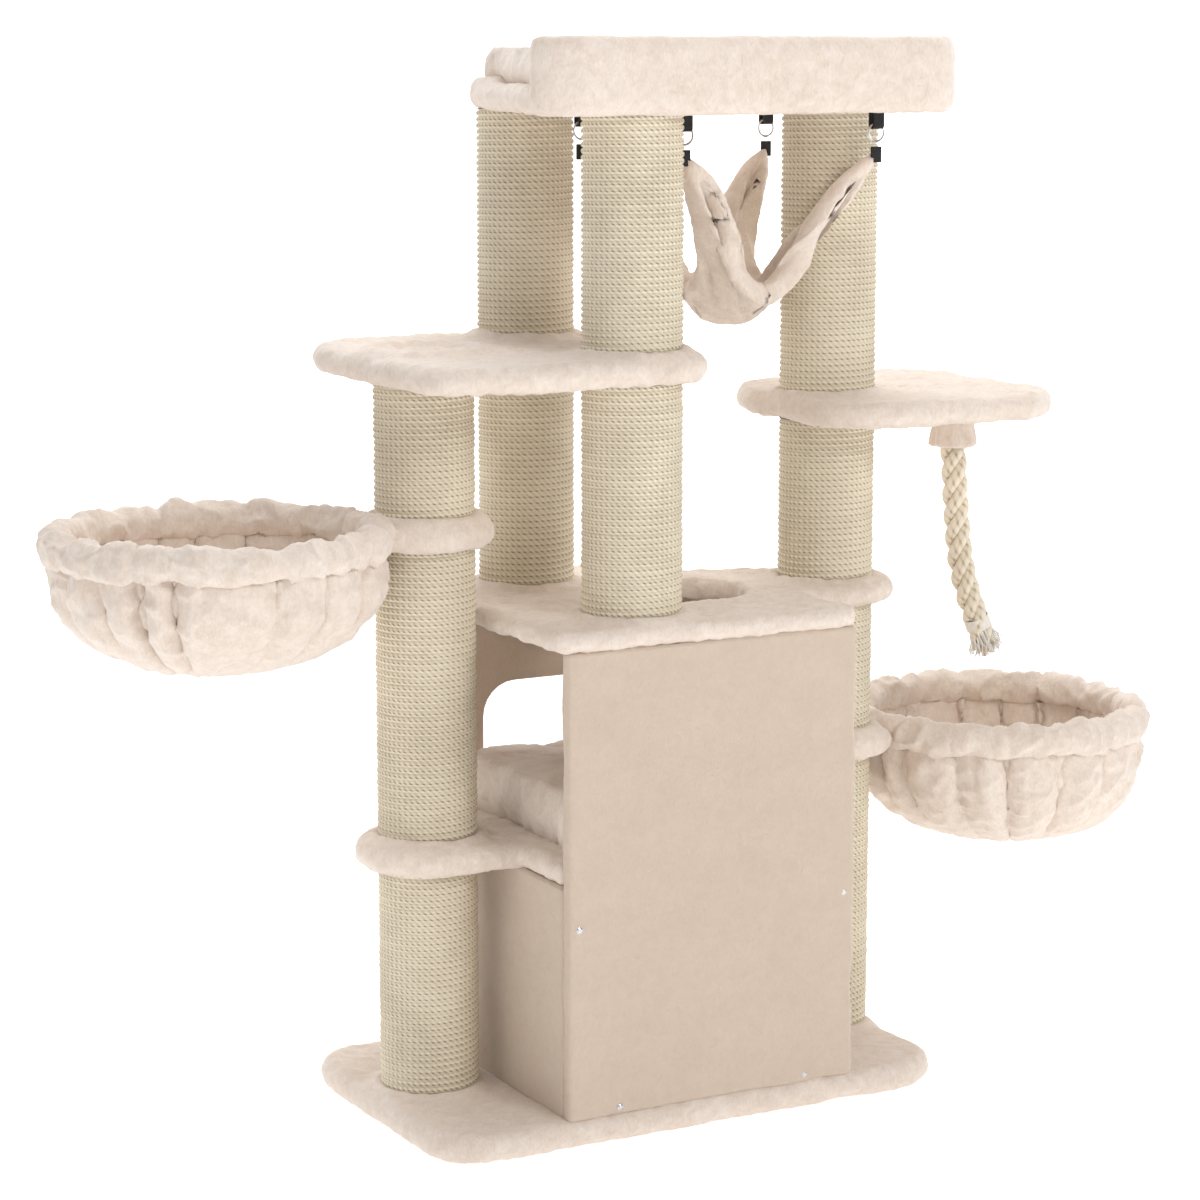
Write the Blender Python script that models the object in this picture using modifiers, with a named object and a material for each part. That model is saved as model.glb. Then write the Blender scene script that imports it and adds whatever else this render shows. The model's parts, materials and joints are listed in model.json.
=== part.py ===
"""Cat tree: four sisal posts, a two-storey cat house, platforms, a top bed, baskets, a hammock and a rope toy.

Metres, +Z up. The origin is the centre of the base plate's underside. The closed back panel
faces -Y, and the way into the house is on the +Y side.
"""

import math

import bmesh
import bpy
from mathutils import Matrix

# ---- driving sizes -------------------------------------------------------------------------

gap = 0.0003  # between faces that touch on the real object

post_radius = 0.075  # cardboard tube with its sisal winding
tube_wall = 0.006
plug_thickness = 0.020
bolt_radius = 0.004
bolt_bore = 0.0045
bolt_reach = 0.030  # how far a bolt goes into a post
bolt_recess = 0.002  # of a bolt's end in an outer board
post_margin = 0.022  # board left round a post that stands at a board's edge
ear_extra = 0.009  # added to that margin where only an ear holds the post
arm_extra = 0.003  # added to it round a basket arm, which turns close to the house

base_depth = 0.510
base_thickness = 0.040
base_corner = 0.085

house_left = -0.2335  # outer face of the left side panel
house_width = 0.491
house_height = 0.700
panel_thickness = 0.020
side_thickness = 0.016
panel_setback = 0.0055  # from the base's near edge to the back panel
front_face = 0.235  # outer face of the front panel
board_thickness = 0.028
board_round = 0.009  # rounding of a covered board's edges

shelf_under = 0.351  # shelf underside above the base plate
shelf_thickness = 0.036
shelf_inset = 0.006  # between the shelf and the panels
shelf_corner = 0.012

window_width = 0.298
window_height = 0.166
window_sill = 0.016  # above the shelf
window_corner = 0.055
entrance_radius = 0.105
entrance_height = 0.190  # centre above the base plate

roof_depth = 0.548
roof_overhang = 0.012  # past the left side panel
roof_lip = 0.002  # past the back panel
roof_corner = 0.012  # radius of the two near corners
roof_far_corner = 0.050
roof_step = 0.140  # depth of the step in the roof's far right corner
roof_step_width = 0.070
roof_step_round = 0.030
roof_shoulder_round = 0.040
roof_ear_flare = 0.095  # from the post's axis to where the ear leaves the right edge
roof_hole_radius = 0.105
roof_hole_at = (0.098, 0.010)

platform_thickness = 0.036
left_platform_rise = 0.3514  # above the roof
left_platform_length = 0.467
left_platform_depth = 0.538
left_platform_margin = 0.028  # past the left post
left_platform_setback = 0.0065  # behind the base's near edge
left_platform_corners = (0.05, 0.085, 0.09, 0.15)
right_platform_rise = 0.2574  # above the roof
right_platform_length = 0.442
right_platform_depth = 0.449
right_platform_margin = 0.008  # left of the right post
right_platform_reach = 0.112  # in front of the right post
right_platform_corners = (0.10, 0.13, 0.078, 0.18)

bed_rise = 0.7384  # above the roof
bed_setback = 0.004  # behind the base's near edge
bed_left_reach = 0.122  # past the near post
bed_post_margin = 0.008  # board left round the far post
bed_wall_height = 0.105
bed_wall_thickness = 0.030
bed_corner = 0.095
bed_wall_end = 0.098  # where the wall's other end stands on the far side
bed_wall_start = 200  # the wall's left end, in degrees round its first corner
wall_fit = 0.001  # between the bed board's edge and the wall that is screwed to it

left_post_at = (-0.336, 0.010)
near_post_at = (-0.078, -0.156)
far_post_at = (-0.078, 0.182)
right_post_reach = 0.1025  # from the house's right side to the right post's axis
right_post_y = 0.001

basket_post_gap = 0.007  # between a post and the basket's rim
basket_arm_width = 0.120
basket_arm_corner = 0.012
basket_radius = 0.248
basket_wall = 0.014
basket_rim = 0.020  # rim above the hoop
left_basket_depth = 0.178  # hoop to the lowest point
right_basket_depth = 0.198
basket_fullness = 0.62  # below 1 the sides stand steeper
hoop_wire = 0.005
hoop_under_arm_top = 0.013
hoop_clearance = 0.004  # between the hoop and the cloth round it
prong_spread = 0.040  # half the distance between the hoop's two ends
prong_start = 0.045  # from the post's axis to the ends of the prongs
prong_clearance = 0.0006
arm_clearance = 0.003  # between the arm's end and the bowl
bore_past_bowl = 0.056  # how far a prong's bore runs in from the bowl's outer face
left_arm_rise = 0.1054  # above the roof
right_arm_under = 0.490

hammock_near = -0.115
hammock_far = 0.205
hammock_left = 0.033
hammock_right = 0.369
strap_drop = 0.030
strap_width = 0.018
strap_thickness = 0.002
strap_loop_width = 0.016
strap_round = 0.006
ring_radius = 0.0135
ring_wire = 0.0017
tab_gap = 0.004
hammock_drop = 0.255  # corner tabs to the lowest point
hammock_thickness = 0.014
hammock_side_pull = 0.60  # how far the left and right edges are drawn in, as a share of half the width
hammock_end_pull = 0.30
hammock_edge_lift = 0.24  # how much higher an edge hangs than the middle, as a share of the drop
hammock_arm = 1.6  # the larger, the shorter the arms at the corners

collar_reach = 0.226  # from the right post's axis
collar_y = -0.020
collar_radius = 0.034
collar_height = 0.052
collar_wall = 0.006
rope_diameter = 0.042

cushion_gap = 0.004
cushion_setback = 0.020  # of the bed cushion from the board's edge on the open side
house_cushion_inset = 0.010
house_cushion_height = 0.078
house_cushion_corner = 0.040
house_cushion_round = 0.020
bed_cushion_height = 0.048
bed_cushion_round = 0.015

screw_head_radius = 0.0055
screw_head_height = 0.0018
screw_crown = 0.55  # the head's flat top, as a share of its radius
screw_edge = 0.35  # the height of the head's edge, as a share of its height
screw_shank_radius = 0.0022
upper_screw_inset = 0.017  # of the upper pair from the panel's edges
upper_screw_drop = 0.061  # below the shelf
lower_screw_inset = 0.085
lower_screw_height = 0.011

round_steps = 24
small_steps = 12  # round screws, bolts and their holes
hole_steps = 32  # round the roof's hole
through = 0.010  # how far a cutter reaches past the board that it cuts

# ---- places worked out from the sizes --------------------------------------------------------

base_near = -base_depth / 2
base_top = base_thickness
house_right = house_left + house_width
house_middle = (house_left + house_right) / 2
right_post_at = (house_right + right_post_reach, right_post_y)
base_length = 2 * (right_post_at[0] + post_radius)  # the right post stands at the base's right end
back_face = base_near + panel_setback
back_inner = back_face + panel_thickness
front_inner = front_face - side_thickness
panel_bottom = base_top + gap
panel_top = panel_bottom + house_height
roof_under = panel_top + gap
roof_top = roof_under + board_thickness
shelf_bottom = base_top + shelf_under
shelf_top = shelf_bottom + shelf_thickness
ring_margin = post_radius + post_margin
ear_margin = ring_margin + ear_extra
left_platform_under = roof_top + left_platform_rise
right_platform_under = roof_top + right_platform_rise
bed_under = roof_top + bed_rise
left_arm_under = roof_top + left_arm_rise
left_platform_top = left_platform_under + platform_thickness
right_platform_top = right_platform_under + platform_thickness
bed_board_top = bed_under + platform_thickness
left_arm_top = left_arm_under + platform_thickness
right_arm_top = right_arm_under + platform_thickness

bed_near = base_near + bed_setback
bed_left = near_post_at[0] - post_radius - bed_left_reach
bed_right = right_post_at[0] + ring_margin
board_inset = bed_wall_thickness + wall_fit  # from the wall's outer face to the board
bed_far = far_post_at[1] + post_radius + bed_post_margin + board_inset

basket_arm_length = post_radius + basket_post_gap + basket_radius  # post axis to basket axis
hoop_radius = basket_radius - basket_wall - hoop_clearance - hoop_wire

hammock_middle = ((hammock_left + hammock_right) / 2, (hammock_near + hammock_far) / 2)
hammock_corners = {
    "near_left": (hammock_left, hammock_near),
    "near_right": (hammock_right, hammock_near),
    "far_left": (hammock_left, hammock_far),
    "far_right": (hammock_right, hammock_far),
}
# A ring hangs on the two corners of the webbing that it holds.
ring_inner = ring_radius - ring_wire
ring_rise = math.sqrt(ring_inner**2 - (strap_width / 2) ** 2) - gap
ring_level = bed_under - gap - strap_drop + strap_thickness - ring_rise


# ---- scene, collections and materials --------------------------------------------------------

for old in list(bpy.data.objects):
    bpy.data.objects.remove(old, do_unlink=True)

stand_up = Matrix.Rotation(math.radians(90), 4, "X")  # turns a flat outline to face -Y

parts = bpy.data.collections.new("cat_tree")
cutters = bpy.data.collections.new("cat_tree_cutters")
bpy.context.scene.collection.children.link(parts)
bpy.context.scene.collection.children.link(cutters)
cutters.hide_render = True


def finish(name, colour, roughness, metallic=0.0):
    """A Principled material with one colour."""
    material = bpy.data.materials.new(name)
    material.use_nodes = True
    shader = material.node_tree.nodes["Principled BSDF"]
    shader.inputs["Base Color"].default_value = (*colour, 1.0)
    shader.inputs["Roughness"].default_value = roughness
    shader.inputs["Metallic"].default_value = metallic
    return material


plush = finish("plush", (0.72, 0.60, 0.49), 0.95)
long_plush = finish("long_plush", (0.78, 0.70, 0.62), 0.95)
sisal = finish("sisal", (0.78, 0.66, 0.44), 0.85)
steel = finish("steel", (0.60, 0.60, 0.62), 0.30, 1.0)
webbing = finish("webbing", (0.02, 0.02, 0.02), 0.80)
cotton = finish("cotton", (0.80, 0.72, 0.58), 0.90)


# ---- helpers ---------------------------------------------------------------------------------


def add(name, mesh, material, smooth=None):
    """Puts a finished mesh into the parts collection, with an optional smooth-shading angle."""
    node = bpy.data.objects.new(name, mesh)
    parts.objects.link(node)
    mesh.materials.clear()
    mesh.materials.append(material)
    if smooth:
        mesh.shade_smooth()
        mesh.set_sharp_from_angle(angle=math.radians(smooth))
    return node


def arc(centre, radius, start, end, steps):
    """Points on an arc, from one angle to another, in degrees."""
    angles = [math.radians(start + (end - start) * i / steps) for i in range(steps + 1)]
    return [(centre[0] + radius * math.cos(a), centre[1] + radius * math.sin(a)) for a in angles]


def rounded_box(left, right, near, far, corners):
    """Outline of a rectangle. corners gives the radii, counter-clockwise from left near."""
    radii = corners if hasattr(corners, "__len__") else [corners] * 4
    spots = [(left, near, 1, 1), (right, near, -1, 1), (right, far, -1, -1), (left, far, 1, -1)]
    outline = []
    for index, ((x, y, sx, sy), r) in enumerate(zip(spots, radii)):
        start = 180 + 90 * index
        outline += arc((x + sx * r, y + sy * r), r, start, start + 90, 6)
    return outline


def wrap(discs):
    """Outline of a band drawn tight round some discs, each (x, y, radius)."""
    points = []
    for x, y, r in discs:
        points += arc((x, y), r, 0, 345, 23)
    points = sorted(set((round(x, 6), round(y, 6)) for x, y in points))

    def half(run):
        kept = []
        for p in run:
            while len(kept) > 1 and turn(kept[-2], kept[-1], p) <= 1e-9:
                kept.pop()
            kept.append(p)
        return kept[:-1]

    return half(points) + half(points[::-1])


def turn(a, b, c):
    """Twice the signed area of a triangle: positive where a, b, c turn left."""
    return (b[0] - a[0]) * (c[1] - a[1]) - (b[1] - a[1]) * (c[0] - a[0])


def touch_angle(point, centre, radius, side):
    """The angle, in degrees, at which a line from a point touches a circle, on one side or the other."""
    dx, dy = point[0] - centre[0], point[1] - centre[1]
    return math.degrees(math.atan2(dy, dx) + side * math.acos(radius / math.hypot(dx, dy)))


def plate_mesh(outline, under, thickness, rounding=0.0):
    """Mesh of a flat outline that is filled and extruded, with rounded edges."""
    curve = bpy.data.curves.new("outline", "CURVE")
    curve.dimensions = "2D"
    curve.fill_mode = "BOTH"
    curve.extrude = thickness / 2 - rounding
    curve.bevel_depth = rounding
    curve.bevel_resolution = 1
    curve.offset = -rounding
    spline = curve.splines.new("POLY")
    spline.points.add(len(outline) - 1)
    for point, (x, y) in zip(spline.points, outline):
        point.co = (x, y, 0, 1)
    spline.use_cyclic_u = True
    guide = bpy.data.objects.new("outline", curve)
    parts.objects.link(guide)
    guide.location.z = under + thickness / 2
    bpy.context.view_layer.update()
    graph = bpy.context.evaluated_depsgraph_get()
    mesh = bpy.data.meshes.new_from_object(guide.evaluated_get(graph))
    mesh.transform(guide.matrix_world)
    bpy.data.objects.remove(guide)
    work = bmesh.new()
    work.from_mesh(mesh)
    bmesh.ops.remove_doubles(work, verts=work.verts, dist=0.00002)
    bmesh.ops.dissolve_degenerate(work, edges=work.edges, dist=0.00001)
    bmesh.ops.recalc_face_normals(work, faces=work.faces)
    work.to_mesh(mesh)
    work.free()
    return mesh


def box_mesh(low, high):
    """Mesh of a box from its lowest and highest corners."""
    size = [b - a for a, b in zip(low, high)]
    middle = [(a + b) / 2 for a, b in zip(low, high)]
    work = bmesh.new()
    bmesh.ops.create_cube(work, size=1.0)
    bmesh.ops.scale(work, vec=size, verts=work.verts)
    bmesh.ops.translate(work, vec=middle, verts=work.verts)
    mesh = bpy.data.meshes.new("box")
    work.to_mesh(mesh)
    work.free()
    return mesh


def cylinder_mesh(centre, radius, low, high, steps=round_steps):
    """Mesh of an upright cylinder."""
    work = bmesh.new()
    bmesh.ops.create_cone(
        work, cap_ends=True, segments=steps, radius1=radius, radius2=radius, depth=high - low
    )
    bmesh.ops.translate(work, vec=(centre[0], centre[1], (low + high) / 2), verts=work.verts)
    mesh = bpy.data.meshes.new("cylinder")
    work.to_mesh(mesh)
    work.free()
    return mesh


def spun_mesh(profile, closed, steps=round_steps):
    """Mesh of a profile of (radius, height) points, turned about Z."""
    work = bmesh.new()
    verts = [work.verts.new((r, 0, z)) for r, z in profile]
    ends = verts[1:] + verts[:1] if closed else verts[1:]
    for a, b in zip(verts, ends):
        work.edges.new((a, b))
    bmesh.ops.spin(
        work,
        geom=work.verts[:] + work.edges[:],
        axis=(0, 0, 1),
        cent=(0, 0, 0),
        angle=2 * math.pi,
        steps=steps,
    )
    bmesh.ops.remove_doubles(work, verts=work.verts, dist=0.00002)
    bmesh.ops.recalc_face_normals(work, faces=work.faces)
    mesh = bpy.data.meshes.new("turned")
    work.to_mesh(mesh)
    work.free()
    return mesh


def turned(name, profile, centre, material, closed=False, smooth=40):
    """A turned piece that stands on the vertical axis through a centre."""
    node = add(name, spun_mesh(profile, closed), material, smooth)
    node.location = (*centre, 0)
    return node


def pivot(name, place):
    """An empty on a joint's axis."""
    empty = bpy.data.objects.new(name, None)
    empty.empty_display_size = 0.05
    empty.location = place
    parts.objects.link(empty)
    bpy.context.view_layer.update()
    return empty


def hang(empty, nodes):
    """Parents nodes to an empty and leaves them where they are."""
    for node in nodes:
        node.parent = empty
        node.matrix_parent_inverse = empty.matrix_world.inverted()


def cut(node, mesh, name, place=(0, 0, 0)):
    """Cuts a mesh out of a node with a live Boolean."""
    cutter = bpy.data.objects.new(name, mesh)
    cutter.location = place
    cutters.objects.link(cutter)
    cutter.hide_render = True
    cutter.display_type = "WIRE"
    modifier = node.modifiers.new(name, "BOOLEAN")
    modifier.operation = "DIFFERENCE"
    modifier.solver = "EXACT"
    modifier.object = cutter


def bolt_hole(node, centre, low, high):
    """A hole for a bolt, through a board."""
    hole = cylinder_mesh(centre, bolt_bore, low - through, high + through, small_steps)
    cut(node, hole, f"{node.name}_bolt_hole_{len(node.modifiers)}")


def covered_board(name, outline, under, thickness, posts, material=long_plush):
    """A plush-covered board with a bolt hole at each post that it is clamped to."""
    node = add(name, plate_mesh(outline, under, thickness, board_round), material, smooth=50)
    for centre in posts:
        bolt_hole(node, centre, under, under + thickness)
    return node


def tube_along(name, points, diameter, material, cyclic=False, sides=2):
    """A round tube along points: a curve with a bevel depth and filled caps."""
    curve = bpy.data.curves.new(name, "CURVE")
    curve.dimensions = "3D"
    curve.bevel_depth = diameter / 2
    curve.bevel_resolution = sides
    curve.use_fill_caps = not cyclic
    spline = curve.splines.new("POLY")
    spline.points.add(len(points) - 1)
    for point, co in zip(spline.points, points):
        point.co = (*co, 1)
    spline.use_cyclic_u = cyclic
    curve.materials.append(material)
    node = bpy.data.objects.new(name, curve)
    parts.objects.link(node)
    return node


# ---- base, house and roof --------------------------------------------------------------------


def make_base():
    x, y = base_length / 2, base_depth / 2
    outline = rounded_box(-x, x, -y, y, base_corner)
    covered_board(
        "base_plate", outline, 0.0, base_thickness, [left_post_at, right_post_at], plush
    )


def make_house_panels():
    """The closed back, the two sides and the front with its window and entrance."""
    low = (house_left, back_face, panel_bottom)
    high = (house_right, back_inner, panel_top)
    back = add("back_panel", box_mesh(low, high), plush)
    left = house_left + side_thickness
    low = (house_left, back_inner + gap, panel_bottom)
    high = (left, front_inner - gap, shelf_bottom - gap)
    add("left_side_panel", box_mesh(low, high), plush)
    low = (house_right - side_thickness, back_inner + gap, panel_bottom)
    high = (house_right, front_inner - gap, panel_top)
    add("right_side_panel", box_mesh(low, high), plush)
    low = (house_left, front_inner, panel_bottom)
    high = (house_right, front_face, panel_top)
    front = add("front_panel", box_mesh(low, high), plush)
    sill = shelf_top + window_sill
    window = rounded_box(
        house_middle - window_width / 2,
        house_middle + window_width / 2,
        sill,
        sill + window_height,
        window_corner,
    )
    hole = plate_mesh(window, -through, side_thickness + 2 * through)
    hole.transform(Matrix.Translation((0, front_face, 0)) @ stand_up)
    cut(front, hole, "window_cutter")
    hole = cylinder_mesh((0, 0), entrance_radius, -through, side_thickness + through)
    entrance = (house_middle, front_face, base_top + entrance_height)
    hole.transform(Matrix.Translation(entrance) @ stand_up)
    cut(front, hole, "entrance_cutter")
    return back


def screw_places():
    """Where the panel screws go in: a pair below the shelf, and a pair by the base."""
    upper = shelf_bottom - upper_screw_drop
    lower = panel_bottom + lower_screw_height
    return [
        ("upper_left", house_left + upper_screw_inset, upper),
        ("upper_right", house_right - upper_screw_inset, upper),
        ("lower_left", house_left + lower_screw_inset, lower),
        ("lower_right", house_right - lower_screw_inset, lower),
    ]


def make_screws(back):
    """Round-headed screws through the back panel. The heads stand just clear of its face."""
    shank = panel_thickness - gap
    profile = [
        (0.0, gap + screw_head_height),
        (screw_head_radius * screw_crown, gap + screw_head_height),
        (screw_head_radius, gap + screw_head_height * screw_edge),
        (screw_head_radius, gap),
        (screw_shank_radius, gap),
        (screw_shank_radius, -shank),
        (0.0, -shank),
    ]
    for label, x, z in screw_places():
        place = Matrix.Translation((x, back_face, z)) @ stand_up
        bore = screw_shank_radius + gap
        hole = cylinder_mesh((0, 0), bore, -panel_thickness - through, through, small_steps)
        hole.transform(place)
        cut(back, hole, f"screw_hole_{label}")
        mesh = spun_mesh(profile, closed=False, steps=small_steps)
        mesh.transform(place)
        add(f"panel_screw_{label}", mesh, steel, smooth=35)


def make_shelf():
    """The shelf between the storeys, with a straight tongue that is clamped in the left post."""
    near = back_inner + shelf_inset
    far = front_inner - shelf_inset
    right = house_right - side_thickness - shelf_inset
    x, y = left_post_at
    outline = rounded_box(house_left, right, near, far, shelf_corner)
    outline.append((house_left, y + ear_margin))
    outline += arc((x, y), ear_margin, 90, 270, 14)
    outline.append((house_left, y - ear_margin))
    covered_board("mid_shelf", outline, shelf_bottom, shelf_thickness, [left_post_at])


def make_roof():
    """The house's roof, with the climbing hole and an ear that is clamped in the right post."""
    left = house_left - roof_overhang
    right = house_right
    near = back_face - roof_lip
    far = near + roof_depth
    notch = far - roof_step
    shoulder = right - roof_step_width
    r = roof_corner
    outline = arc((left + r, near + r), r, 180, 270, 4)
    outline += arc((right - r, near + r), r, 270, 360, 4)
    # The ear's sides run from the right edge and from the step, and touch the disc round the post.
    x, y = right_post_at
    leave = (right, y - roof_ear_flare)
    r = roof_step_round
    back = (shoulder + r, notch)
    start = touch_angle(leave, right_post_at, ear_margin, 1)
    end = touch_angle(back, right_post_at, ear_margin, -1)
    outline.append(leave)
    outline += arc((x, y), ear_margin, start, end, 16)
    outline += arc((shoulder + r, notch + r), r, 270, 180, 4)
    r = roof_shoulder_round
    outline += arc((shoulder - r, far - r), r, 0, 90, 5)
    r = roof_far_corner
    outline += arc((left + r, far - r), r, 90, 180, 5)
    roof = covered_board(
        "roof_board",
        outline,
        roof_under,
        board_thickness,
        [near_post_at, far_post_at, right_post_at],
    )
    hole = cylinder_mesh(
        roof_hole_at, roof_hole_radius, roof_under - through, roof_top + through, hole_steps
    )
    cut(roof, hole, "roof_hole_cutter")


# ---- platforms and the top bed -------------------------------------------------------------------


def make_platforms():
    near = base_near + left_platform_setback
    left = left_post_at[0] - post_radius - left_platform_margin
    outline = rounded_box(
        left,
        left + left_platform_length,
        near,
        near + left_platform_depth,
        left_platform_corners,
    )
    covered_board(
        "left_platform",
        outline,
        left_platform_under,
        platform_thickness,
        [left_post_at, near_post_at, far_post_at],
    )
    left = right_post_at[0] - post_radius - right_platform_margin
    near = right_post_at[1] - post_radius - right_platform_reach
    outline = rounded_box(
        left,
        left + right_platform_length,
        near,
        near + right_platform_depth,
        right_platform_corners,
    )
    covered_board(
        "right_platform", outline, right_platform_under, platform_thickness, [right_post_at]
    )


def bed_outline(inset, post_disc):
    """The bed's outline, set in from the wall's outer face, with a disc round the far post."""
    r = bed_corner - inset
    return wrap(
        [
            (bed_left + bed_corner, bed_near + bed_corner, r),
            (bed_right - bed_corner, bed_near + bed_corner, r),
            (bed_right - bed_corner, bed_far - bed_corner, r),
            (*far_post_at, post_disc),
        ]
    )


def make_top_bed():
    posts = [near_post_at, far_post_at, right_post_at]
    outline = bed_outline(board_inset, post_radius + bed_post_margin)
    covered_board("top_bed_board", outline, bed_under, platform_thickness, posts)
    # The wall follows the board's edge from the left near corner round to the middle of the far side.
    outer = []
    inner = []
    for run, r in ((outer, bed_corner), (inner, bed_corner - bed_wall_thickness)):
        run += arc((bed_left + bed_corner, bed_near + bed_corner), r, bed_wall_start, 270, 6)
        run += arc((bed_right - bed_corner, bed_near + bed_corner), r, 270, 360, 8)
        run += arc((bed_right - bed_corner, bed_far - bed_corner), r, 0, 90, 8)
    outer.append((bed_wall_end, bed_far))
    inner.append((bed_wall_end, bed_far - bed_wall_thickness))
    outline = outer + inner[::-1]
    mesh = plate_mesh(outline, bed_under, bed_wall_height, board_round)
    add("top_bed_wall", mesh, long_plush, smooth=50)


# ---- posts and their bolts --------------------------------------------------------------------------


def post_stacks():
    """Each post from the bottom up: name, axis, and the boards that it passes, as (under, top)."""
    base = (0.0, base_top)
    shelf = (shelf_bottom, shelf_top)
    roof = (roof_under, roof_top)
    left_arm = (left_arm_under, left_arm_top)
    right_arm = (right_arm_under, right_arm_top)
    left_platform = (left_platform_under, left_platform_top)
    right_platform = (right_platform_under, right_platform_top)
    bed = (bed_under, bed_board_top)
    return [
        ("left_post", left_post_at, [base, shelf, left_arm, left_platform]),
        ("near_post", near_post_at, [roof, left_platform, bed]),
        ("far_post", far_post_at, [roof, left_platform, bed]),
        ("right_post", right_post_at, [base, right_arm, roof, right_platform, bed]),
    ]


def make_post_section(name, centre, low, high):
    """A tube between two boards, closed by plugs that are bored for the bolts."""
    inner = post_radius - tube_wall
    profile = [
        (bolt_bore, low),
        (post_radius, low),
        (post_radius, high),
        (bolt_bore, high),
        (bolt_bore, high - plug_thickness),
        (inner, high - plug_thickness),
        (inner, low + plug_thickness),
        (bolt_bore, low + plug_thickness),
    ]
    turned(name, profile, centre, sisal, closed=True)


def make_bolt(name, centre, low, high):
    mesh = cylinder_mesh(centre, bolt_radius, low, high, small_steps)
    add(name, mesh, steel, smooth=40)


def make_posts():
    for name, centre, boards in post_stacks():
        for index, (lower, upper) in enumerate(zip(boards, boards[1:])):
            make_post_section(f"{name}_{index + 1}", centre, lower[1] + gap, upper[0] - gap)
        for index, (under, top) in enumerate(boards):
            first = index == 0
            last = index == len(boards) - 1
            low = under + bolt_recess if first else under - bolt_reach
            high = top - bolt_recess if last else top + bolt_reach
            make_bolt(f"{name}_bolt_{index + 1}", centre, low, high)


# ---- baskets -----------------------------------------------------------------------------------------


def bowl_profile(radius, rim, turn_level, bottom):
    """Points of a bowl's wall: straight down from the rim, then round to the lowest point."""
    steps = 6
    points = [(radius, rim)]
    for i in range(steps):
        angle = i / steps * math.pi / 2
        reach = radius * math.cos(angle) ** basket_fullness
        points.append((reach, turn_level - (turn_level - bottom) * math.sin(angle)))
    return points + [(0.0, bottom)]


def make_basket(side, post, arm_under, direction, depth):
    """An arm that turns round its post, with a steel hoop on its end and a cloth bowl round the hoop."""
    x, y = post
    arm_top = arm_under + platform_thickness
    middle_x = x + direction * basket_arm_length
    hoop_level = arm_top - hoop_under_arm_top
    neck = middle_x - direction * (basket_radius - basket_wall)
    half = basket_arm_width / 2 - basket_arm_corner
    outline = wrap(
        [
            (x, y, ring_margin + arm_extra),
            (neck, y + half, basket_arm_corner),
            (neck, y - half, basket_arm_corner),
        ]
    )
    arm = covered_board(f"{side}_basket_arm", outline, arm_under, platform_thickness, [post])
    seat_radius = basket_radius + arm_clearance
    seat = cylinder_mesh(
        (middle_x, y), seat_radius, arm_under - through, arm_top + through, 2 * round_steps
    )
    cut(arm, seat, f"{side}_arm_seat")
    # The hoop's two ends run out of the circle, through the cloth and into bores in the arm.
    spread = math.degrees(math.asin(prong_spread / hoop_radius))
    towards_post = 0 if direction < 0 else 180
    circle = arc((middle_x, y), hoop_radius, towards_post + spread, towards_post + 360 - spread, 22)
    prong_x = x + direction * prong_start
    ends = (circle[0][1], circle[-1][1])
    circle = [(prong_x, ends[0])] + circle + [(prong_x, ends[1])]
    hoop = tube_along(
        f"{side}_basket_hoop",
        [(px, py, hoop_level) for px, py in circle],
        hoop_wire * 2,
        steel,
        sides=1,
    )
    bowl = turned(
        f"{side}_basket_bowl",
        bowl_profile(basket_radius, hoop_level + basket_rim, hoop_level, hoop_level - depth)[::-1]
        + bowl_profile(
            basket_radius - basket_wall,
            hoop_level + basket_rim,
            hoop_level,
            hoop_level - depth + basket_wall,
        ),
        (middle_x, y),
        long_plush,
        smooth=50,
    )
    lie = Matrix.Rotation(math.radians(90), 4, "Y")
    bore_length = basket_arm_length - basket_radius + bore_past_bowl - prong_start
    bore_x = prong_x + direction * (bore_length / 2 - hoop_clearance)
    for index, prong_y in enumerate(ends):
        for node in (arm, bowl):
            bore = cylinder_mesh(
                (0, 0), hoop_wire + prong_clearance, -bore_length / 2, bore_length / 2, small_steps
            )
            bore.transform(Matrix.Translation((bore_x, prong_y, hoop_level)) @ lie)
            if node is bowl:
                bore.transform(Matrix.Translation((-middle_x, -y, 0)))
            cut(node, bore, f"{node.name}_bore_{index + 1}", node.location)
    hang(pivot(f"{side}_basket_swivel", (x, y, arm_under)), (arm, hoop, bowl))


# ---- hammock ---------------------------------------------------------------------------------------------


def make_strap(label, x, y):
    """A flattened loop of webbing under the bed board, open towards the hammock's left and right."""
    top = bed_under - gap
    side = strap_loop_width / 2
    wall = strap_thickness
    loop = rounded_box(-side, side, -strap_drop, 0.0, strap_round)
    slot = rounded_box(
        -side + wall, side - wall, -strap_drop + wall, -wall, strap_round - wall
    )
    place = Matrix.Translation((x, y, top)) @ Matrix.Rotation(math.radians(90), 4, "Z") @ stand_up
    mesh = plate_mesh(loop, -strap_width / 2, strap_width)
    mesh.transform(place)
    node = add(f"hammock_strap_{label}", mesh, webbing)
    hole = plate_mesh(slot, -strap_width / 2 - through, strap_width + 2 * through)
    hole.transform(place)
    cut(node, hole, f"strap_slot_{label}")


def make_ring(label, x, y):
    points = [(x + px, y, ring_level + pz) for px, pz in arc((0, 0), ring_radius, 0, 345, 23)]
    name = f"hammock_ring_{label}"
    return tube_along(name, points, ring_wire * 2, steel, cyclic=True, sides=0)


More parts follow.
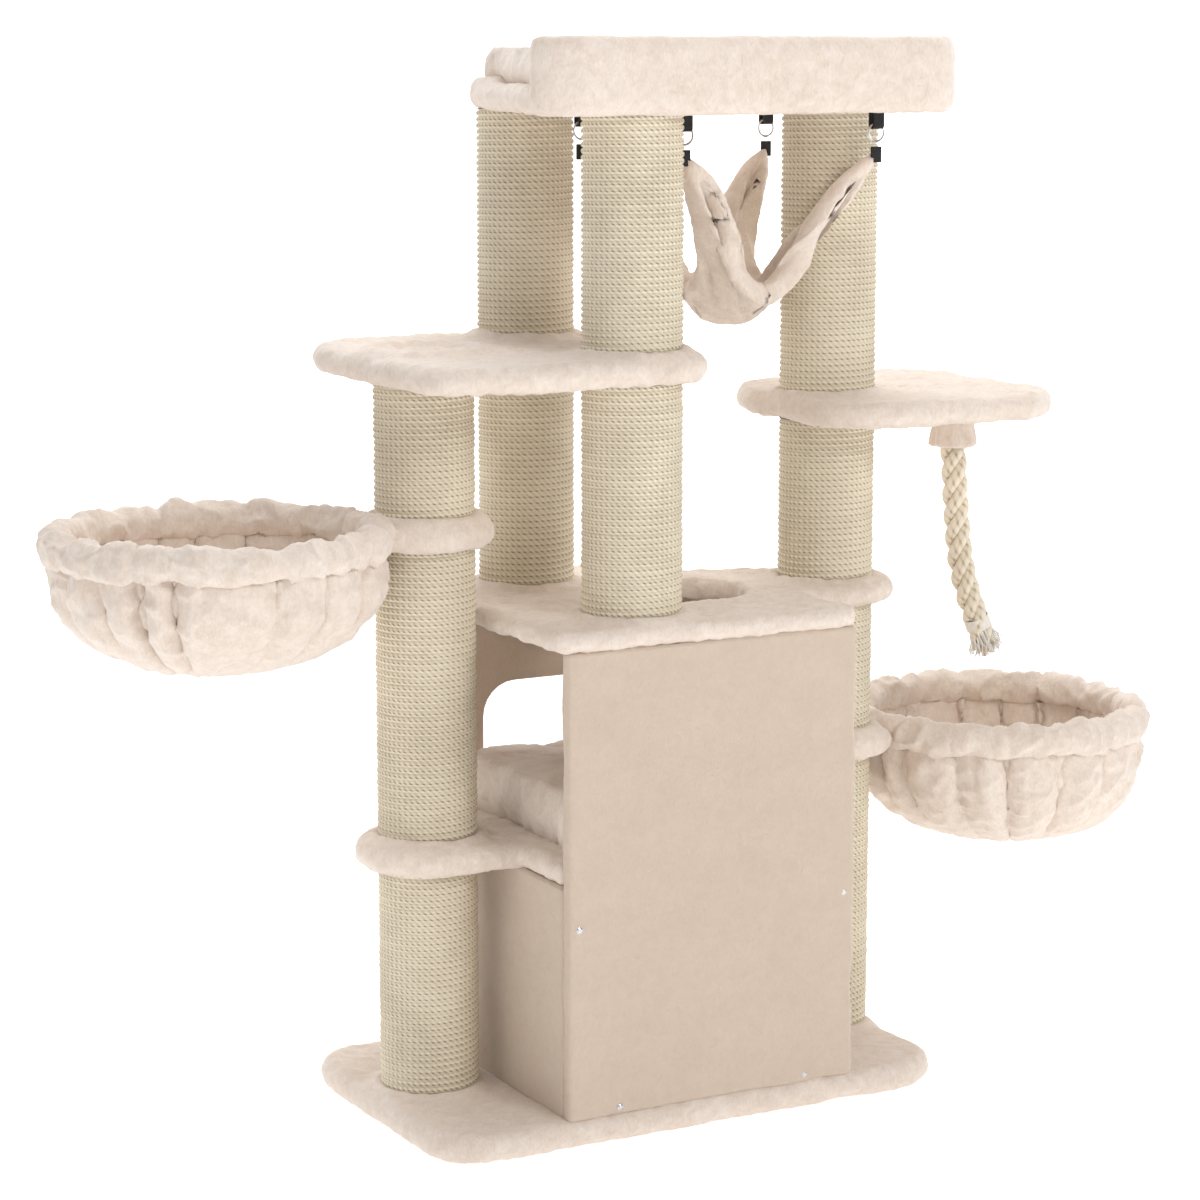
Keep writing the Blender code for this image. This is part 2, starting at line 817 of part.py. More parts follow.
def make_cloth():
    """The hammock: a sheet drawn in between its corners, which narrow to arms, sagging to its middle."""
    top = ring_level - ring_radius - ring_wire - tab_gap - hammock_thickness
    steps = 12
    cx, cy = hammock_middle
    hx = (hammock_right - hammock_left) / 2
    hy = (hammock_far - hammock_near) / 2
    work = bmesh.new()
    grid = []
    for i in range(steps + 1):
        row = []
        for j in range(steps + 1):
            u, v = 2 * i / steps - 1, 2 * j / steps - 1
            x = cx + hx * u * (1 - hammock_side_pull * (1 - v**4))
            y = cy + hy * v * (1 - hammock_end_pull * (1 - u * u))
            edge = max(abs(u), abs(v))
            sag = (1 - abs(u * v) ** hammock_arm) * (1 - hammock_edge_lift * edge**3)
            row.append(work.verts.new((x, y, top - hammock_drop * sag)))
        grid.append(row)
    for a, b in zip(grid, grid[1:]):
        for k in range(steps):
            work.faces.new((a[k], b[k], b[k + 1], a[k + 1]))
    bmesh.ops.recalc_face_normals(work, faces=work.faces)
    mesh = bpy.data.meshes.new("hammock")
    work.to_mesh(mesh)
    work.free()
    node = add("hammock", mesh, long_plush, smooth=60)
    shell = node.modifiers.new("cloth_thickness", "SOLIDIFY")
    shell.thickness = hammock_thickness
    shell.offset = 0.0
    return node


def make_hammock():
    """Straps under the bed, rings that swing in them, and the cloth that hangs from the rings."""
    rings = {}
    for label, (x, y) in hammock_corners.items():
        make_strap(label, x, y)
        rings[label] = make_ring(label, x, y)
    ring_top = ring_level + ring_radius
    ring_low = ring_level - ring_radius
    x = hammock_middle[0]
    near = pivot("near_rings_hinge", (x, hammock_near, ring_top))
    hang(near, (rings["near_left"], rings["near_right"]))
    far = pivot("far_rings_hinge", (x, hammock_far, ring_top))
    hang(far, (rings["far_left"], rings["far_right"]))
    hang(pivot("hammock_hinge", (x, hammock_near, ring_low)), (make_cloth(),))


# ---- rope toy, cushions --------------------------------------------------------------------------------------

collar_at = (right_post_at[0] + collar_reach, collar_y)
# The rope's bends: out from the collar's axis, and below the platform.
rope_bends = [
    (-0.0015, 0.0395),
    (0.0000, 0.0492),
    (0.0020, 0.0670),
    (0.0042, 0.0965),
    (0.0065, 0.1262),
    (0.0090, 0.1557),
    (0.0118, 0.1853),
    (0.0152, 0.2150),
    (0.0197, 0.2425),
    (0.0265, 0.2702),
    (0.0347, 0.2967),
    (0.0450, 0.3233),
    (0.0558, 0.3490),
    (0.0675, 0.3747),
    (0.0793, 0.4003),
]
rope_route = [
    (collar_at[0] + out, collar_at[1], right_platform_under - drop) for out, drop in rope_bends
]


def make_rope_toy():
    """A cloth cup under the right platform, and the thick rope that hangs out of it."""
    top = right_platform_under - gap
    mouth = top - collar_height
    inner = collar_radius - collar_wall
    profile = [
        (0.0, top),
        (collar_radius, top),
        (collar_radius, mouth),
        (inner, mouth),
        (inner, top - collar_wall),
        (0.0, top - collar_wall),
    ]
    turned("rope_collar", profile, collar_at, long_plush)
    rope = tube_along("toy_rope", rope_route, rope_diameter, cotton, sides=2)
    hang(pivot("toy_rope_hinge", rope_route[0]), (rope,))


def make_cushions():
    """A cushion on the shelf inside the house, and one in the top bed that lifts out."""
    inset = house_cushion_inset
    outline = rounded_box(
        house_left + side_thickness + inset,
        house_right - side_thickness - inset,
        back_inner + inset,
        front_inner - inset,
        house_cushion_corner,
    )
    mesh = plate_mesh(outline, shelf_top + gap, house_cushion_height, house_cushion_round)
    add("house_cushion", mesh, long_plush, smooth=60)
    outline = bed_outline(board_inset + cushion_gap, post_radius + bed_post_margin - cushion_setback)
    low = bed_board_top + gap
    mesh = plate_mesh(outline, low, bed_cushion_height, bed_cushion_round)
    cushion = add("bed_cushion", mesh, long_plush, smooth=60)
    hang(pivot("bed_cushion_lift", (*far_post_at, low)), (cushion,))


make_base()
make_screws(make_house_panels())
make_shelf()
make_roof()
make_platforms()
make_top_bed()
make_posts()
make_basket("left", left_post_at, left_arm_under, -1, left_basket_depth)
make_basket("right", right_post_at, right_arm_under, 1, right_basket_depth)
make_hammock()
make_rope_toy()
make_cushions()
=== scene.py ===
import json
import math

import bmesh
import bpy
import numpy as np
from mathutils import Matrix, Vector

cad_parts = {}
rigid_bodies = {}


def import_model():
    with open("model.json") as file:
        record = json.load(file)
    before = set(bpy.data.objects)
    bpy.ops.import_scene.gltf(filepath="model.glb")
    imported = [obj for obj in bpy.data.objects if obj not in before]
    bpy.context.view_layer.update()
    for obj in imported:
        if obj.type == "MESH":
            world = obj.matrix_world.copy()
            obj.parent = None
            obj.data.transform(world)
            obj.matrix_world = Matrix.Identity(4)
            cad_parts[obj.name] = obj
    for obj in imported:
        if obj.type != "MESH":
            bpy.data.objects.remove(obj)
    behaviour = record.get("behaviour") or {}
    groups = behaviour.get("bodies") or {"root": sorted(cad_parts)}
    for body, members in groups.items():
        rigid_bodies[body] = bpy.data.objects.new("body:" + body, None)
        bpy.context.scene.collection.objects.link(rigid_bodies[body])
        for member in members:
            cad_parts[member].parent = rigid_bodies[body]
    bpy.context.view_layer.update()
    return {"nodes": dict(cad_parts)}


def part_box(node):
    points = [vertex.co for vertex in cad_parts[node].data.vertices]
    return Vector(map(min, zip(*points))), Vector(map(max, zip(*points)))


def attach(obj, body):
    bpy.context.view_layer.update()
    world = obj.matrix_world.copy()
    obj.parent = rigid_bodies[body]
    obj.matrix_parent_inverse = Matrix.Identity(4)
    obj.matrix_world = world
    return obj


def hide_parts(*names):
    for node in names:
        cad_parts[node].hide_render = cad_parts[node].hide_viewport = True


for old in list(bpy.data.objects):
    bpy.data.objects.remove(old, do_unlink=True)

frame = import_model()
nodes = frame["nodes"]
scene = bpy.context.scene
looks = bpy.data.collections.new("looks")
scene.collection.children.link(looks)
print("loaded", len(nodes), "CAD nodes")

# camera, lights and floor

camera = {
    "place": (-2.3822, -4.2791, 1.6084),
    "tilt": 80.216,  # degrees from straight down
    "turn": -28.63,
    "lens": 97.27,
}
studio = {
    "floorSize": 40.0,
    "floorLook": {"Base Color": (0.94, 0.94, 0.94, 1), "Roughness": 0.9, "Emission Strength": 0.45},
    "world": 0.46,
    "backdrop": (7.0, 34.0, -0.5, 16.0),  # behind the object: distance, width, lowest, highest
    "backdropLook": {"Base Color": (0.9, 0.9, 0.9, 1), "Emission Strength": 1.05},
    "lights": [  # place, aimed at, size, watts, colour
        ((0.9, -4.0, 3.2), (0.0, 0.0, 1.25), 1.5, 58, (1.0, 0.99, 0.98)),
        ((-3.4, -1.0, 2.4), (0.0, 0.0, 0.9), 1.4, 8, (1.0, 1.0, 1.0)),
        ((0.4, 0.6, 4.2), (0.0, 0.0, 1.2), 1.8, 40, (1.0, 1.0, 1.0)),
    ],
}


def makeCamera():
    data = bpy.data.cameras.new("camera")
    data.lens = camera["lens"]
    data.sensor_width = 36
    data.clip_end = 60
    cam = bpy.data.objects.new("camera", data)
    cam.location = camera["place"]
    cam.rotation_euler = (math.radians(camera["tilt"]), 0, math.radians(camera["turn"]))
    scene.collection.objects.link(cam)
    scene.camera = cam


def paperPlane(name, corners, look):
    # one flat quad of glowing paper
    mesh = bpy.data.meshes.new(name)
    mesh.from_pydata(corners, [], [(0, 1, 2, 3)])
    paper = bpy.data.materials.new(f"{name} paper")
    paper.use_nodes = True
    shader = paper.node_tree.nodes["Principled BSDF"]
    shader.inputs["Emission Color"].default_value = (1, 1, 1, 1)
    for label, value in look.items():
        shader.inputs[label].default_value = value
    mesh.materials.append(paper)
    plane = bpy.data.objects.new(name, mesh)
    scene.collection.objects.link(plane)
    return plane


def makeStudio():
    for index, (spot, target, size, watts, colour) in enumerate(studio["lights"]):
        lamp = bpy.data.lights.new(f"softbox{index}", "AREA")
        lamp.size = size
        lamp.energy = watts
        lamp.color = colour
        holder = bpy.data.objects.new(f"softbox{index}", lamp)
        holder.location = spot
        holder.rotation_mode = "QUATERNION"
        holder.rotation_quaternion = (Vector(target) - Vector(spot)).to_track_quat("-Z", "Y")
        scene.collection.objects.link(holder)
    world = bpy.data.worlds.new("white room")
    world.use_nodes = True
    sky = world.node_tree.nodes["Background"]
    sky.inputs["Color"].default_value = (1, 1, 1, 1)
    sky.inputs["Strength"].default_value = studio["world"]
    scene.world = world
    scene.view_settings.view_transform = "Standard"
    half = studio["floorSize"] / 2
    corners = [(-half, -half, 0), (half, -half, 0), (half, half, 0), (-half, half, 0)]
    floor = paperPlane("floor", corners, studio["floorLook"])
    # a lit paper wall straight behind the object, square to the camera's heading
    away, wide, low, high = studio["backdrop"]
    heading = math.radians(camera["turn"])
    corners = [(-wide / 2, 0, low), (wide / 2, 0, low), (wide / 2, 0, high), (-wide / 2, 0, high)]
    backdrop = paperPlane("backdrop", corners, studio["backdropLook"])
    backdrop.location = (-math.sin(heading) * away, math.cos(heading) * away, 0)
    backdrop.rotation_euler.z = heading


# number work on grids and paths


def resample(path, step, closed=True):
    # points spaced evenly by length: p(k) = path(s), s = k * L / n
    p = np.asarray(path, float)
    run = np.vstack([p, p[:1]]) if closed else p
    s = np.r_[0, np.cumsum(np.linalg.norm(np.diff(run, axis=0), axis=1))]
    n = max(8, int(round(s[-1] / step)))
    at = np.linspace(0, s[-1], n, endpoint=False) if closed else np.linspace(0, s[-1], n + 1)
    return np.stack([np.interp(at, s, run[:, k]) for k in range(p.shape[1])], axis=1)


def soften(p, width, step):
    # closed path averaged with its neighbours: p'(s) = sum(w(k) p(s + k)),
    # w(k) = exp(-(k step / width)^2 / 2)
    k = np.arange(-int(3 * width / step), int(3 * width / step) + 1)
    w = np.exp(-0.5 * (k * step / width) ** 2)
    return sum(a * np.roll(p, i, axis=0) for a, i in zip(w / w.sum(), k))


def outward(p):
    # normals of a closed flat path: n = (dy, -dx) / |d|, d = p(s + 1) - p(s - 1)
    d = np.roll(p, -1, 0) - np.roll(p, 1, 0)
    return np.stack([d[:, 1], -d[:, 0]], 1) / np.linalg.norm(d, axis=1)[:, None]


def power(wave, k):
    # sign(w) |w|^k, which squares a cosine's round section off where k is small
    return np.sign(wave) * np.abs(wave) ** k


def gridNormals(p, closed):
    # n = dp/di x dp/dj, to unit length
    di = np.roll(p, -1, 0) - np.roll(p, 1, 0) if closed[0] else np.gradient(p, axis=0)
    dj = np.roll(p, -1, 1) - np.roll(p, 1, 1) if closed[1] else np.gradient(p, axis=1)
    n = np.cross(di, dj)
    return n / (np.linalg.norm(n, axis=-1, keepdims=True) + 1e-12)


def lumps(p, size, amount, seed, waves=14):
    # h = amount * sqrt(2 / n) * sum(sin(2 pi d . p / size + phase))
    rng = np.random.default_rng(seed)
    d = rng.normal(size=(waves, 3))
    d *= rng.uniform(0.7, 1.45, (waves, 1)) / size / np.linalg.norm(d, axis=1)[:, None]
    return amount * math.sqrt(2 / waves) * np.sin(
        2 * math.pi * (p @ d.T) + rng.uniform(0, 2 * math.pi, waves)
    ).sum(-1)


def tufts(p, size, amount, seed):
    # h = amount * (1 - |lumps|^0.7): soft ridges with narrow partings, as locks of pile lie
    return amount * (1 - np.abs(np.clip(lumps(p, size, 1.0, seed, 9), -1.6, 1.6)) ** 0.7)


plushRelief = {
    "swell": (0.11, 0.0010),  # size and height of each kind of unevenness
    "clump": (0.030, 0.0007),
    "tuft": (0.012, 0.0011),
}


def plushHeight(p, seed, share=1.0):
    # h = swell + clump + tuft
    h = lumps(p, *plushRelief["swell"], seed) + lumps(p, *plushRelief["clump"], seed + 1)
    return share * (h + tufts(p, *plushRelief["tuft"], seed + 2))


def fluffed(p, closed, seed, share=1.0):
    # p' = p + n h(p), with the normals turned to point away from the piece's middle
    n = gridNormals(p, closed)
    sign = np.sign(np.sum(n * (p - p.reshape(-1, 3).mean(0))))
    return p + sign * n * plushHeight(p, seed, share)[..., None]


def gridObject(name, p, material, closed=(False, False), uv=None, weld=1e-6):
    # faces (i, j) (i, j + 1) (i + 1, j + 1) (i + 1, j), then equal points are joined
    rows, cols = p.shape[:2]
    i = np.arange(rows if closed[0] else rows - 1)[:, None]
    j = np.arange(cols if closed[1] else cols - 1)[None, :]
    i2, j2 = (i + 1) % rows, (j + 1) % cols
    quads = np.stack([i * cols + j, i * cols + j2, i2 * cols + j2, i2 * cols + j], -1).reshape(-1, 4)
    mesh = bpy.data.meshes.new(name)
    mesh.from_pydata(p.reshape(-1, 3).tolist(), [], quads.tolist())
    if uv is not None:
        layer = mesh.uv_layers.new(name="winding")
        layer.data.foreach_set("uv", uv.reshape(-1, 2)[quads.ravel()].astype(np.float32).ravel())
    work = bmesh.new()
    work.from_mesh(mesh)
    bmesh.ops.remove_doubles(work, verts=work.verts, dist=weld)
    bmesh.ops.dissolve_degenerate(work, edges=work.edges, dist=weld)
    bmesh.ops.recalc_face_normals(work, faces=work.faces)
    work.to_mesh(mesh)
    work.free()
    mesh.shade_smooth()
    mesh.materials.append(material)
    obj = bpy.data.objects.new(name, mesh)
    looks.objects.link(obj)
    return obj


def place(obj, body, slot, *stoodFor):
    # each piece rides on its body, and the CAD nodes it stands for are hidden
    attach(obj, body)
    if stoodFor:
        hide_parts(*stoodFor)
    return obj


def nodePoints(name):
    # points of a CAD node's mesh as an array
    mesh = nodes[name].data
    co = np.empty(len(mesh.vertices) * 3, np.float32)
    mesh.vertices.foreach_get("co", co)
    return co.reshape(-1, 3).astype(float)


def nodeOutline(name, centre, rounding, step, smooth):
    # the widest points of a board, sorted by their angle round a centre, softened and evenly spaced
    p = nodePoints(name)
    p = p[np.abs(p[:, 2] - (p[:, 2].max() - rounding)) < 0.0008][:, :2]
    angle = np.arctan2(p[:, 1] - centre[1], p[:, 0] - centre[0])
    p = p[np.argsort(angle)]
    keep = np.linalg.norm(p - np.roll(p, 1, 0), axis=1) > 1e-5
    fine = resample(p[keep], step)
    return soften(fine, smooth, step) if smooth else fine


# materials: shared effects are groups that put out colours, masks and normals


def newGroup(name, inputs, outputs):
    group = bpy.data.node_groups.new(name, "ShaderNodeTree")
    for label, kind, value in inputs:
        socket = group.interface.new_socket(label, in_out="INPUT", socket_type=kind)
        if value is not None:
            socket.default_value = value
    for label, kind in outputs:
        group.interface.new_socket(label, in_out="OUTPUT", socket_type=kind)
    return group, group.nodes.new("NodeGroupInput"), group.nodes.new("NodeGroupOutput")


def noise(tree, vector, scale, detail=3.0, rough=0.55, distortion=0.0):
    node = tree.nodes.new("ShaderNodeTexNoise")
    node.inputs["Scale"].default_value = scale
    node.inputs["Detail"].default_value = detail
    node.inputs["Roughness"].default_value = rough
    node.inputs["Distortion"].default_value = distortion
    tree.links.new(vector, node.inputs["Vector"])
    return node.outputs["Fac"]


def feed(tree, socket, value):
    # a node's output is linked to the socket, and anything else is set on it
    if isinstance(value, bpy.types.NodeSocket):
        tree.links.new(value, socket)
    else:
        socket.default_value = value


def maths(tree, kind, a, b=None):
    node = tree.nodes.new("ShaderNodeMath")
    node.operation = kind
    feed(tree, node.inputs[0], a)
    if b is not None:
        feed(tree, node.inputs[1], b)
    return node.outputs[0]


def weighted(tree, *terms):
    # total = value 1 * weight 1 + value 2 * weight 2 + ...
    total = None
    for value, weight in terms:
        term = maths(tree, "MULTIPLY", value, weight)
        total = maths(tree, "ADD", total, term) if total else term
    return total


def zigzag(tree, value):
    # d = |2 fract(x) - 1|: 1 at whole numbers and 0 half way between them
    twice = maths(tree, "MULTIPLY", maths(tree, "FRACT", value), 2.0)
    return maths(tree, "ABSOLUTE", maths(tree, "SUBTRACT", twice, 1.0))


def mixColour(tree, amount, a, b):
    node = tree.nodes.new("ShaderNodeMix")
    node.data_type = "RGBA"
    for socket, value in ((node.inputs[0], amount), (node.inputs[6], a), (node.inputs[7], b)):
        feed(tree, socket, value)
    return node.outputs[2]


def bump(tree, height, strength, distance):
    node = tree.nodes.new("ShaderNodeBump")
    node.inputs["Strength"].default_value = strength
    feed(tree, node.inputs["Distance"], distance)
    feed(tree, node.inputs["Height"], height)
    return node.outputs["Normal"]


def stretched(tree, vector, scale):
    node = tree.nodes.new("ShaderNodeMapping")
    node.inputs["Scale"].default_value = scale
    tree.links.new(vector, node.inputs["Vector"])
    return node.outputs["Vector"]


pile = {
    "patchScale": 7.0,  # broad painted shading and sheen where the pile lies one way or another
    "clumpScale": 55.0,
    "fibreScale": 330.0,
    "relief": 0.55,
    "depth": 0.004,
    "contrast": 3.4,
    "midTone": 0.62,
}


def makePileGroup():
    # height = 0.6 clump + 0.4 fibre, tone = mid + (0.22 patch + 0.78 height - 0.5) contrast * spread,
    # mapped from the dark to the light colour: as the tone follows the bump height, this is painted
    # shade in the pile's hollows and painted light on its tufts, and the patches are painted sheen where
    # the pile lies one way or another
    group, start, end = newGroup(
        "plushPile",
        [
            ("Vector", "NodeSocketVector", None),
            ("Light", "NodeSocketColor", (0.9, 0.8, 0.7, 1)),
            ("Dark", "NodeSocketColor", (0.6, 0.5, 0.4, 1)),
            ("Spread", "NodeSocketFloat", 1.0),
        ],
        [("Color", "NodeSocketColor"), ("Normal", "NodeSocketVector")],
    )
    v = start.outputs["Vector"]
    patch = noise(group, v, pile["patchScale"], 3, 0.5, 0.3)
    clump = noise(group, v, pile["clumpScale"], 4, 0.6, 0.8)
    fibre = noise(group, stretched(group, v, (1.0, 1.0, 0.45)), pile["fibreScale"], 2, 0.6, 0.4)
    height = weighted(group, (clump, 0.6), (fibre, 0.4))
    # painted shade and light: the colour follows the bump height, and the patches give painted sheen
    tone = weighted(group, (patch, 0.22), (height, 0.78))
    tone = maths(group, "MULTIPLY", maths(group, "SUBTRACT", tone, 0.5), pile["contrast"])
    tone = maths(group, "MULTIPLY", tone, start.outputs["Spread"])
    tone = maths(group, "ADD", tone, pile["midTone"])  # the mix keeps it between 0 and 1
    colour = mixColour(group, tone, start.outputs["Dark"], start.outputs["Light"])
    group.links.new(colour, end.inputs["Color"])
    group.links.new(bump(group, height, pile["relief"], pile["depth"]), end.inputs["Normal"])
    return group


strand = {
    "perTurn": 50,
    "relief": 0.7,
    "depth": 0.0016,
    "wobble": 0.55,  # how far a strand's edge wanders, in strands
    "fibreScale": 420.0,
    "patchScale": 9.0,
}


def makeTwistGroup():
    # edge = d(u + v + wobble)^3 between two strands, crease = (1 - d(v + 0.5))^4 between two turns,
    # dark = 0.26 edge + 0.75 crease (1.3 edge + 0.45) + 0.6 (0.6 - fibre) + 0.5 (0.5 - patch):
    # the edge and crease terms are painted shade in the grooves, the fibre and patch terms the rope's
    # own uneven colour
    group, start, end = newGroup(
        "ropeTwist",
        [
            ("Vector", "NodeSocketVector", None),
            ("Position", "NodeSocketVector", None),
            ("Light", "NodeSocketColor", (0.9, 0.8, 0.6, 1)),
            ("Dark", "NodeSocketColor", (0.4, 0.3, 0.2, 1)),
            ("Depth", "NodeSocketFloat", 0.002),
        ],
        [("Color", "NodeSocketColor"), ("Normal", "NodeSocketVector")],
    )
    split = group.nodes.new("ShaderNodeSeparateXYZ")
    group.links.new(start.outputs["Vector"], split.inputs[0])
    u, v = split.outputs["X"], split.outputs["Y"]
    where = start.outputs["Position"]
    wobble = maths(group, "MULTIPLY", noise(group, where, 30.0, 2), strand["wobble"])
    lean = maths(group, "ADD", maths(group, "ADD", u, v), wobble)
    edge = maths(group, "POWER", zigzag(group, lean), 3.0)
    fibre = noise(group, stretched(group, where, (1.0, 1.0, 3.5)), strand["fibreScale"], 3, 0.65)
    patch = noise(group, where, strand["patchScale"], 3, 0.6)
    # painted shade in the crease between two turns, deeper where the strand edges meet it
    across = zigzag(group, maths(group, "ADD", v, 0.5))
    crease = maths(group, "POWER", maths(group, "SUBTRACT", 1.0, across), 4.0)
    creaseShadeWeight = maths(group, "ADD", maths(group, "MULTIPLY", edge, 1.3), 0.45)
    crease = maths(group, "MULTIPLY", crease, creaseShadeWeight)
    pale, plain = maths(group, "SUBTRACT", 0.60, fibre), maths(group, "SUBTRACT", 0.5, patch)
    # painted shade from the edge and crease terms, the rope's own uneven colour from fibre and patch
    tone = weighted(group, (edge, 0.26), (crease, 0.75), (pale, 0.6), (plain, 0.5))
    colour = mixColour(group, tone, start.outputs["Light"], start.outputs["Dark"])
    height = maths(group, "SUBTRACT", maths(group, "MULTIPLY", fibre, 0.35), edge)
    relief = bump(group, height, strand["relief"], start.outputs["Depth"])
    group.links.new(colour, end.inputs["Color"])
    group.links.new(relief, end.inputs["Normal"])
    return group


def makeWeaveGroup():
    # threads over and under: h = |sin(k (x + y))| |sin(k z)|
    group, start, end = newGroup(
        "webbingWeave",
        [("Vector", "NodeSocketVector", None), ("Count", "NodeSocketFloat", 2600.0)],
        [("Normal", "NodeSocketVector")],
    )
    split = group.nodes.new("ShaderNodeSeparateXYZ")
    group.links.new(start.outputs["Vector"], split.inputs[0])
    both = maths(group, "ADD", split.outputs["X"], split.outputs["Y"])
    threads = []
    for way in (both, split.outputs["Z"]):
        turn = maths(group, "MULTIPLY", way, start.outputs["Count"])
        threads.append(maths(group, "ABSOLUTE", maths(group, "SINE", turn)))
    height = maths(group, "MULTIPLY", *threads)
    group.links.new(bump(group, height, 0.6, 0.0006), end.inputs["Normal"])
    return group


def makeWearGroup():
    # fine rolled grain and dull spots on plated steel
    group, start, end = newGroup(
        "steelWear",
        [("Vector", "NodeSocketVector", None)],
        [("Dull", "NodeSocketFloat"), ("Normal", "NodeSocketVector")],
    )
    grain = noise(group, stretched(group, start.outputs["Vector"], (1, 1, 8)), 260.0, 3)
    spots = noise(group, start.outputs["Vector"], 70.0, 3)
    dull = maths(group, "ADD", maths(group, "MULTIPLY", spots, 0.35), 0.12)
    group.links.new(dull, end.inputs["Dull"])
    group.links.new(bump(group, grain, 0.15, 0.0003), end.inputs["Normal"])
    return group


def materialWith(name, group, fixed, sockets, coords="Object"):
    # a Principled shader with a group on it: fixed holds plain shader values, sockets the group's own
    material = bpy.data.materials.new(name)
    material.use_nodes = True
    tree = material.node_tree
    shader = tree.nodes["Principled BSDF"]
    for label, value in fixed.items():
        shader.inputs[label].default_value = value
    where = tree.nodes.new("ShaderNodeTexCoord")
    node = tree.nodes.new("ShaderNodeGroup")
    node.node_tree = group
    tree.links.new(where.outputs[coords], node.inputs["Vector"])
    if "Position" in node.inputs:
        tree.links.new(where.outputs["Object"], node.inputs["Position"])
    for label, value in sockets.items():
        node.inputs[label].default_value = value
    if "Color" in node.outputs:
        tree.links.new(node.outputs["Color"], shader.inputs["Base Color"])
    if "Dull" in node.outputs:
        tree.links.new(node.outputs["Dull"], shader.inputs["Roughness"])
    tree.links.new(node.outputs["Normal"], shader.inputs["Normal"])
    return material


cloth = {"Roughness": 1.0, "Sheen Weight": 0.35, "Sheen Roughness": 0.5, "Specular IOR Level": 0.15}
colours = {
    # each plush and twine Light and Dark pair is mixed by the pile's bump height: painted shade in the
    # hollows, painted light on the tufts
    "longLight": (0.90, 0.81, 0.735, 1),
    "longDark": (0.62, 0.49, 0.385, 1),
    "shortLight": (0.69, 0.575, 0.475, 1),
    "shortDark": (0.55, 0.43, 0.335, 1),
    # the sisal and cotton Dark colours are laid into the rope's grooves as painted shade, as well as
    # into its darker fibres
    "sisalLight": (0.90, 0.82, 0.66, 1),
    "sisalDark": (0.26, 0.18, 0.10, 1),
    "cottonLight": (0.88, 0.80, 0.66, 1),
    "cottonDark": (0.50, 0.40, 0.28, 1),
    "twineLight": (0.95, 0.93, 0.88, 1),
    "twineDark": (0.72, 0.66, 0.56, 1),
    "webbing": (0.012, 0.012, 0.013, 1),
    "steel": (0.62, 0.62, 0.64, 1),
}


def makeMaterials():
    pileGroup, twistGroup = makePileGroup(), makeTwistGroup()

    def shades(kind, **more):
        return {"Light": colours[f"{kind}Light"], "Dark": colours[f"{kind}Dark"], **more}

    dry = {"Roughness": 0.85, "Specular IOR Level": 0.25}
    twineLook = {"Roughness": 0.9, "Specular IOR Level": 0.2}
    webbingLook = {"Base Color": colours["webbing"], "Roughness": 0.7}
    steelLook = {"Base Color": colours["steel"], "Metallic": 1.0}
    long, short = shades("long", Spread=0.55), shades("short", Spread=0.35)
    sisal, cotton = shades("sisal", Depth=strand["depth"]), shades("cotton", Depth=strand["depth"])
    twine = shades("twine", Spread=0.7)
    return {
        "longPlush": materialWith("long plush", pileGroup, cloth, long),
        "shortPlush": materialWith("short plush", pileGroup, cloth, short),
        "sisal": materialWith("sisal winding", twistGroup, dry, sisal, "UV"),
        "cotton": materialWith("cotton rope", twistGroup, dry, cotton, "UV"),
        "webbing": materialWith("black webbing", makeWeaveGroup(), webbingLook, {}),
        "steel": materialWith("plated steel", makeWearGroup(), steelLook, {}),
        "twine": materialWith("white twine", pileGroup, twineLook, twine),
    }


# boards wrapped in long plush

boardSet = {
    "step": 0.0065,  # spacing of points along the outline
    "soften": 0.008,
    "cadRound": 0.009,  # where the CAD board's rounded edge starts below its top
    "bulge": 0.003,  # how far the pile stands proud of the board
    "bulgeUnder": 0.0009,
    "rollShare": 0.9,  # depth of the rounded edge, as a share of half the thickness
    "lipShare": 0.6,  # the hole's edge is that much shallower
    "ringStep": 0.0075,
    "heapHeight": 0.009,  # pile pushed up round a post's foot
    "heapWidth": 0.013,
    "heapGap": 0.004,
    "lowest": 0.0004,  # the pile is pressed flat on the floor
}


posts = {
    "left": (-0.336, 0.010),
    "near": (-0.078, -0.156),
    "far": (-0.078, 0.182),
    "right": (0.360, 0.001),
    "radius": 0.075,
}
boards = {  # centre: a point that sees the whole outline; heaps: the posts that stand on the board
    "midShelf": {"node": "mid_shelf", "centre": (-0.10, 0.0), "seed": 11, "heaps": ["left"]},
    "roof": {
        "node": "roof_board",
        "centre": (0.098, 0.010),
        "seed": 21,
        "heaps": ["near", "far", "right"],
        "hole": 0.105,  # radius of the climbing hole, round the centre
    },
    "leftPlatform": {
        "node": "left_platform",
        "centre": (-0.20, 0.02),
        "seed": 31,
        "heaps": ["left", "near", "far"],
    },
    "rightPlatform": {
        "node": "right_platform",
        "centre": (0.50, 0.04),
        "seed": 41,
        "heaps": ["right"],
    },
    "bedBoard": {
        "node": "top_bed_board",
        "centre": (0.08, 0.0),
        "seed": 51,
        "heaps": ["near", "far", "right"],
    },
    "leftArm": {
        "node": "left_basket_arm",
        "centre": posts["left"],
        "seed": 61,
        "heaps": ["left"],
        "body": "left_basket",
    },
    "rightArm": {
        "node": "right_basket_arm",
        "centre": posts["right"],
        "seed": 61,
        "heaps": ["right"],
        "body": "right_basket",
    },
    "basePlate": {
        "node": "base_plate",
        "centre": (0.0, 0.0),
        "seed": 71,
        "heaps": ["left", "right"],
        "slot": "panel_plush",
        "share": 0.8,
    },
}


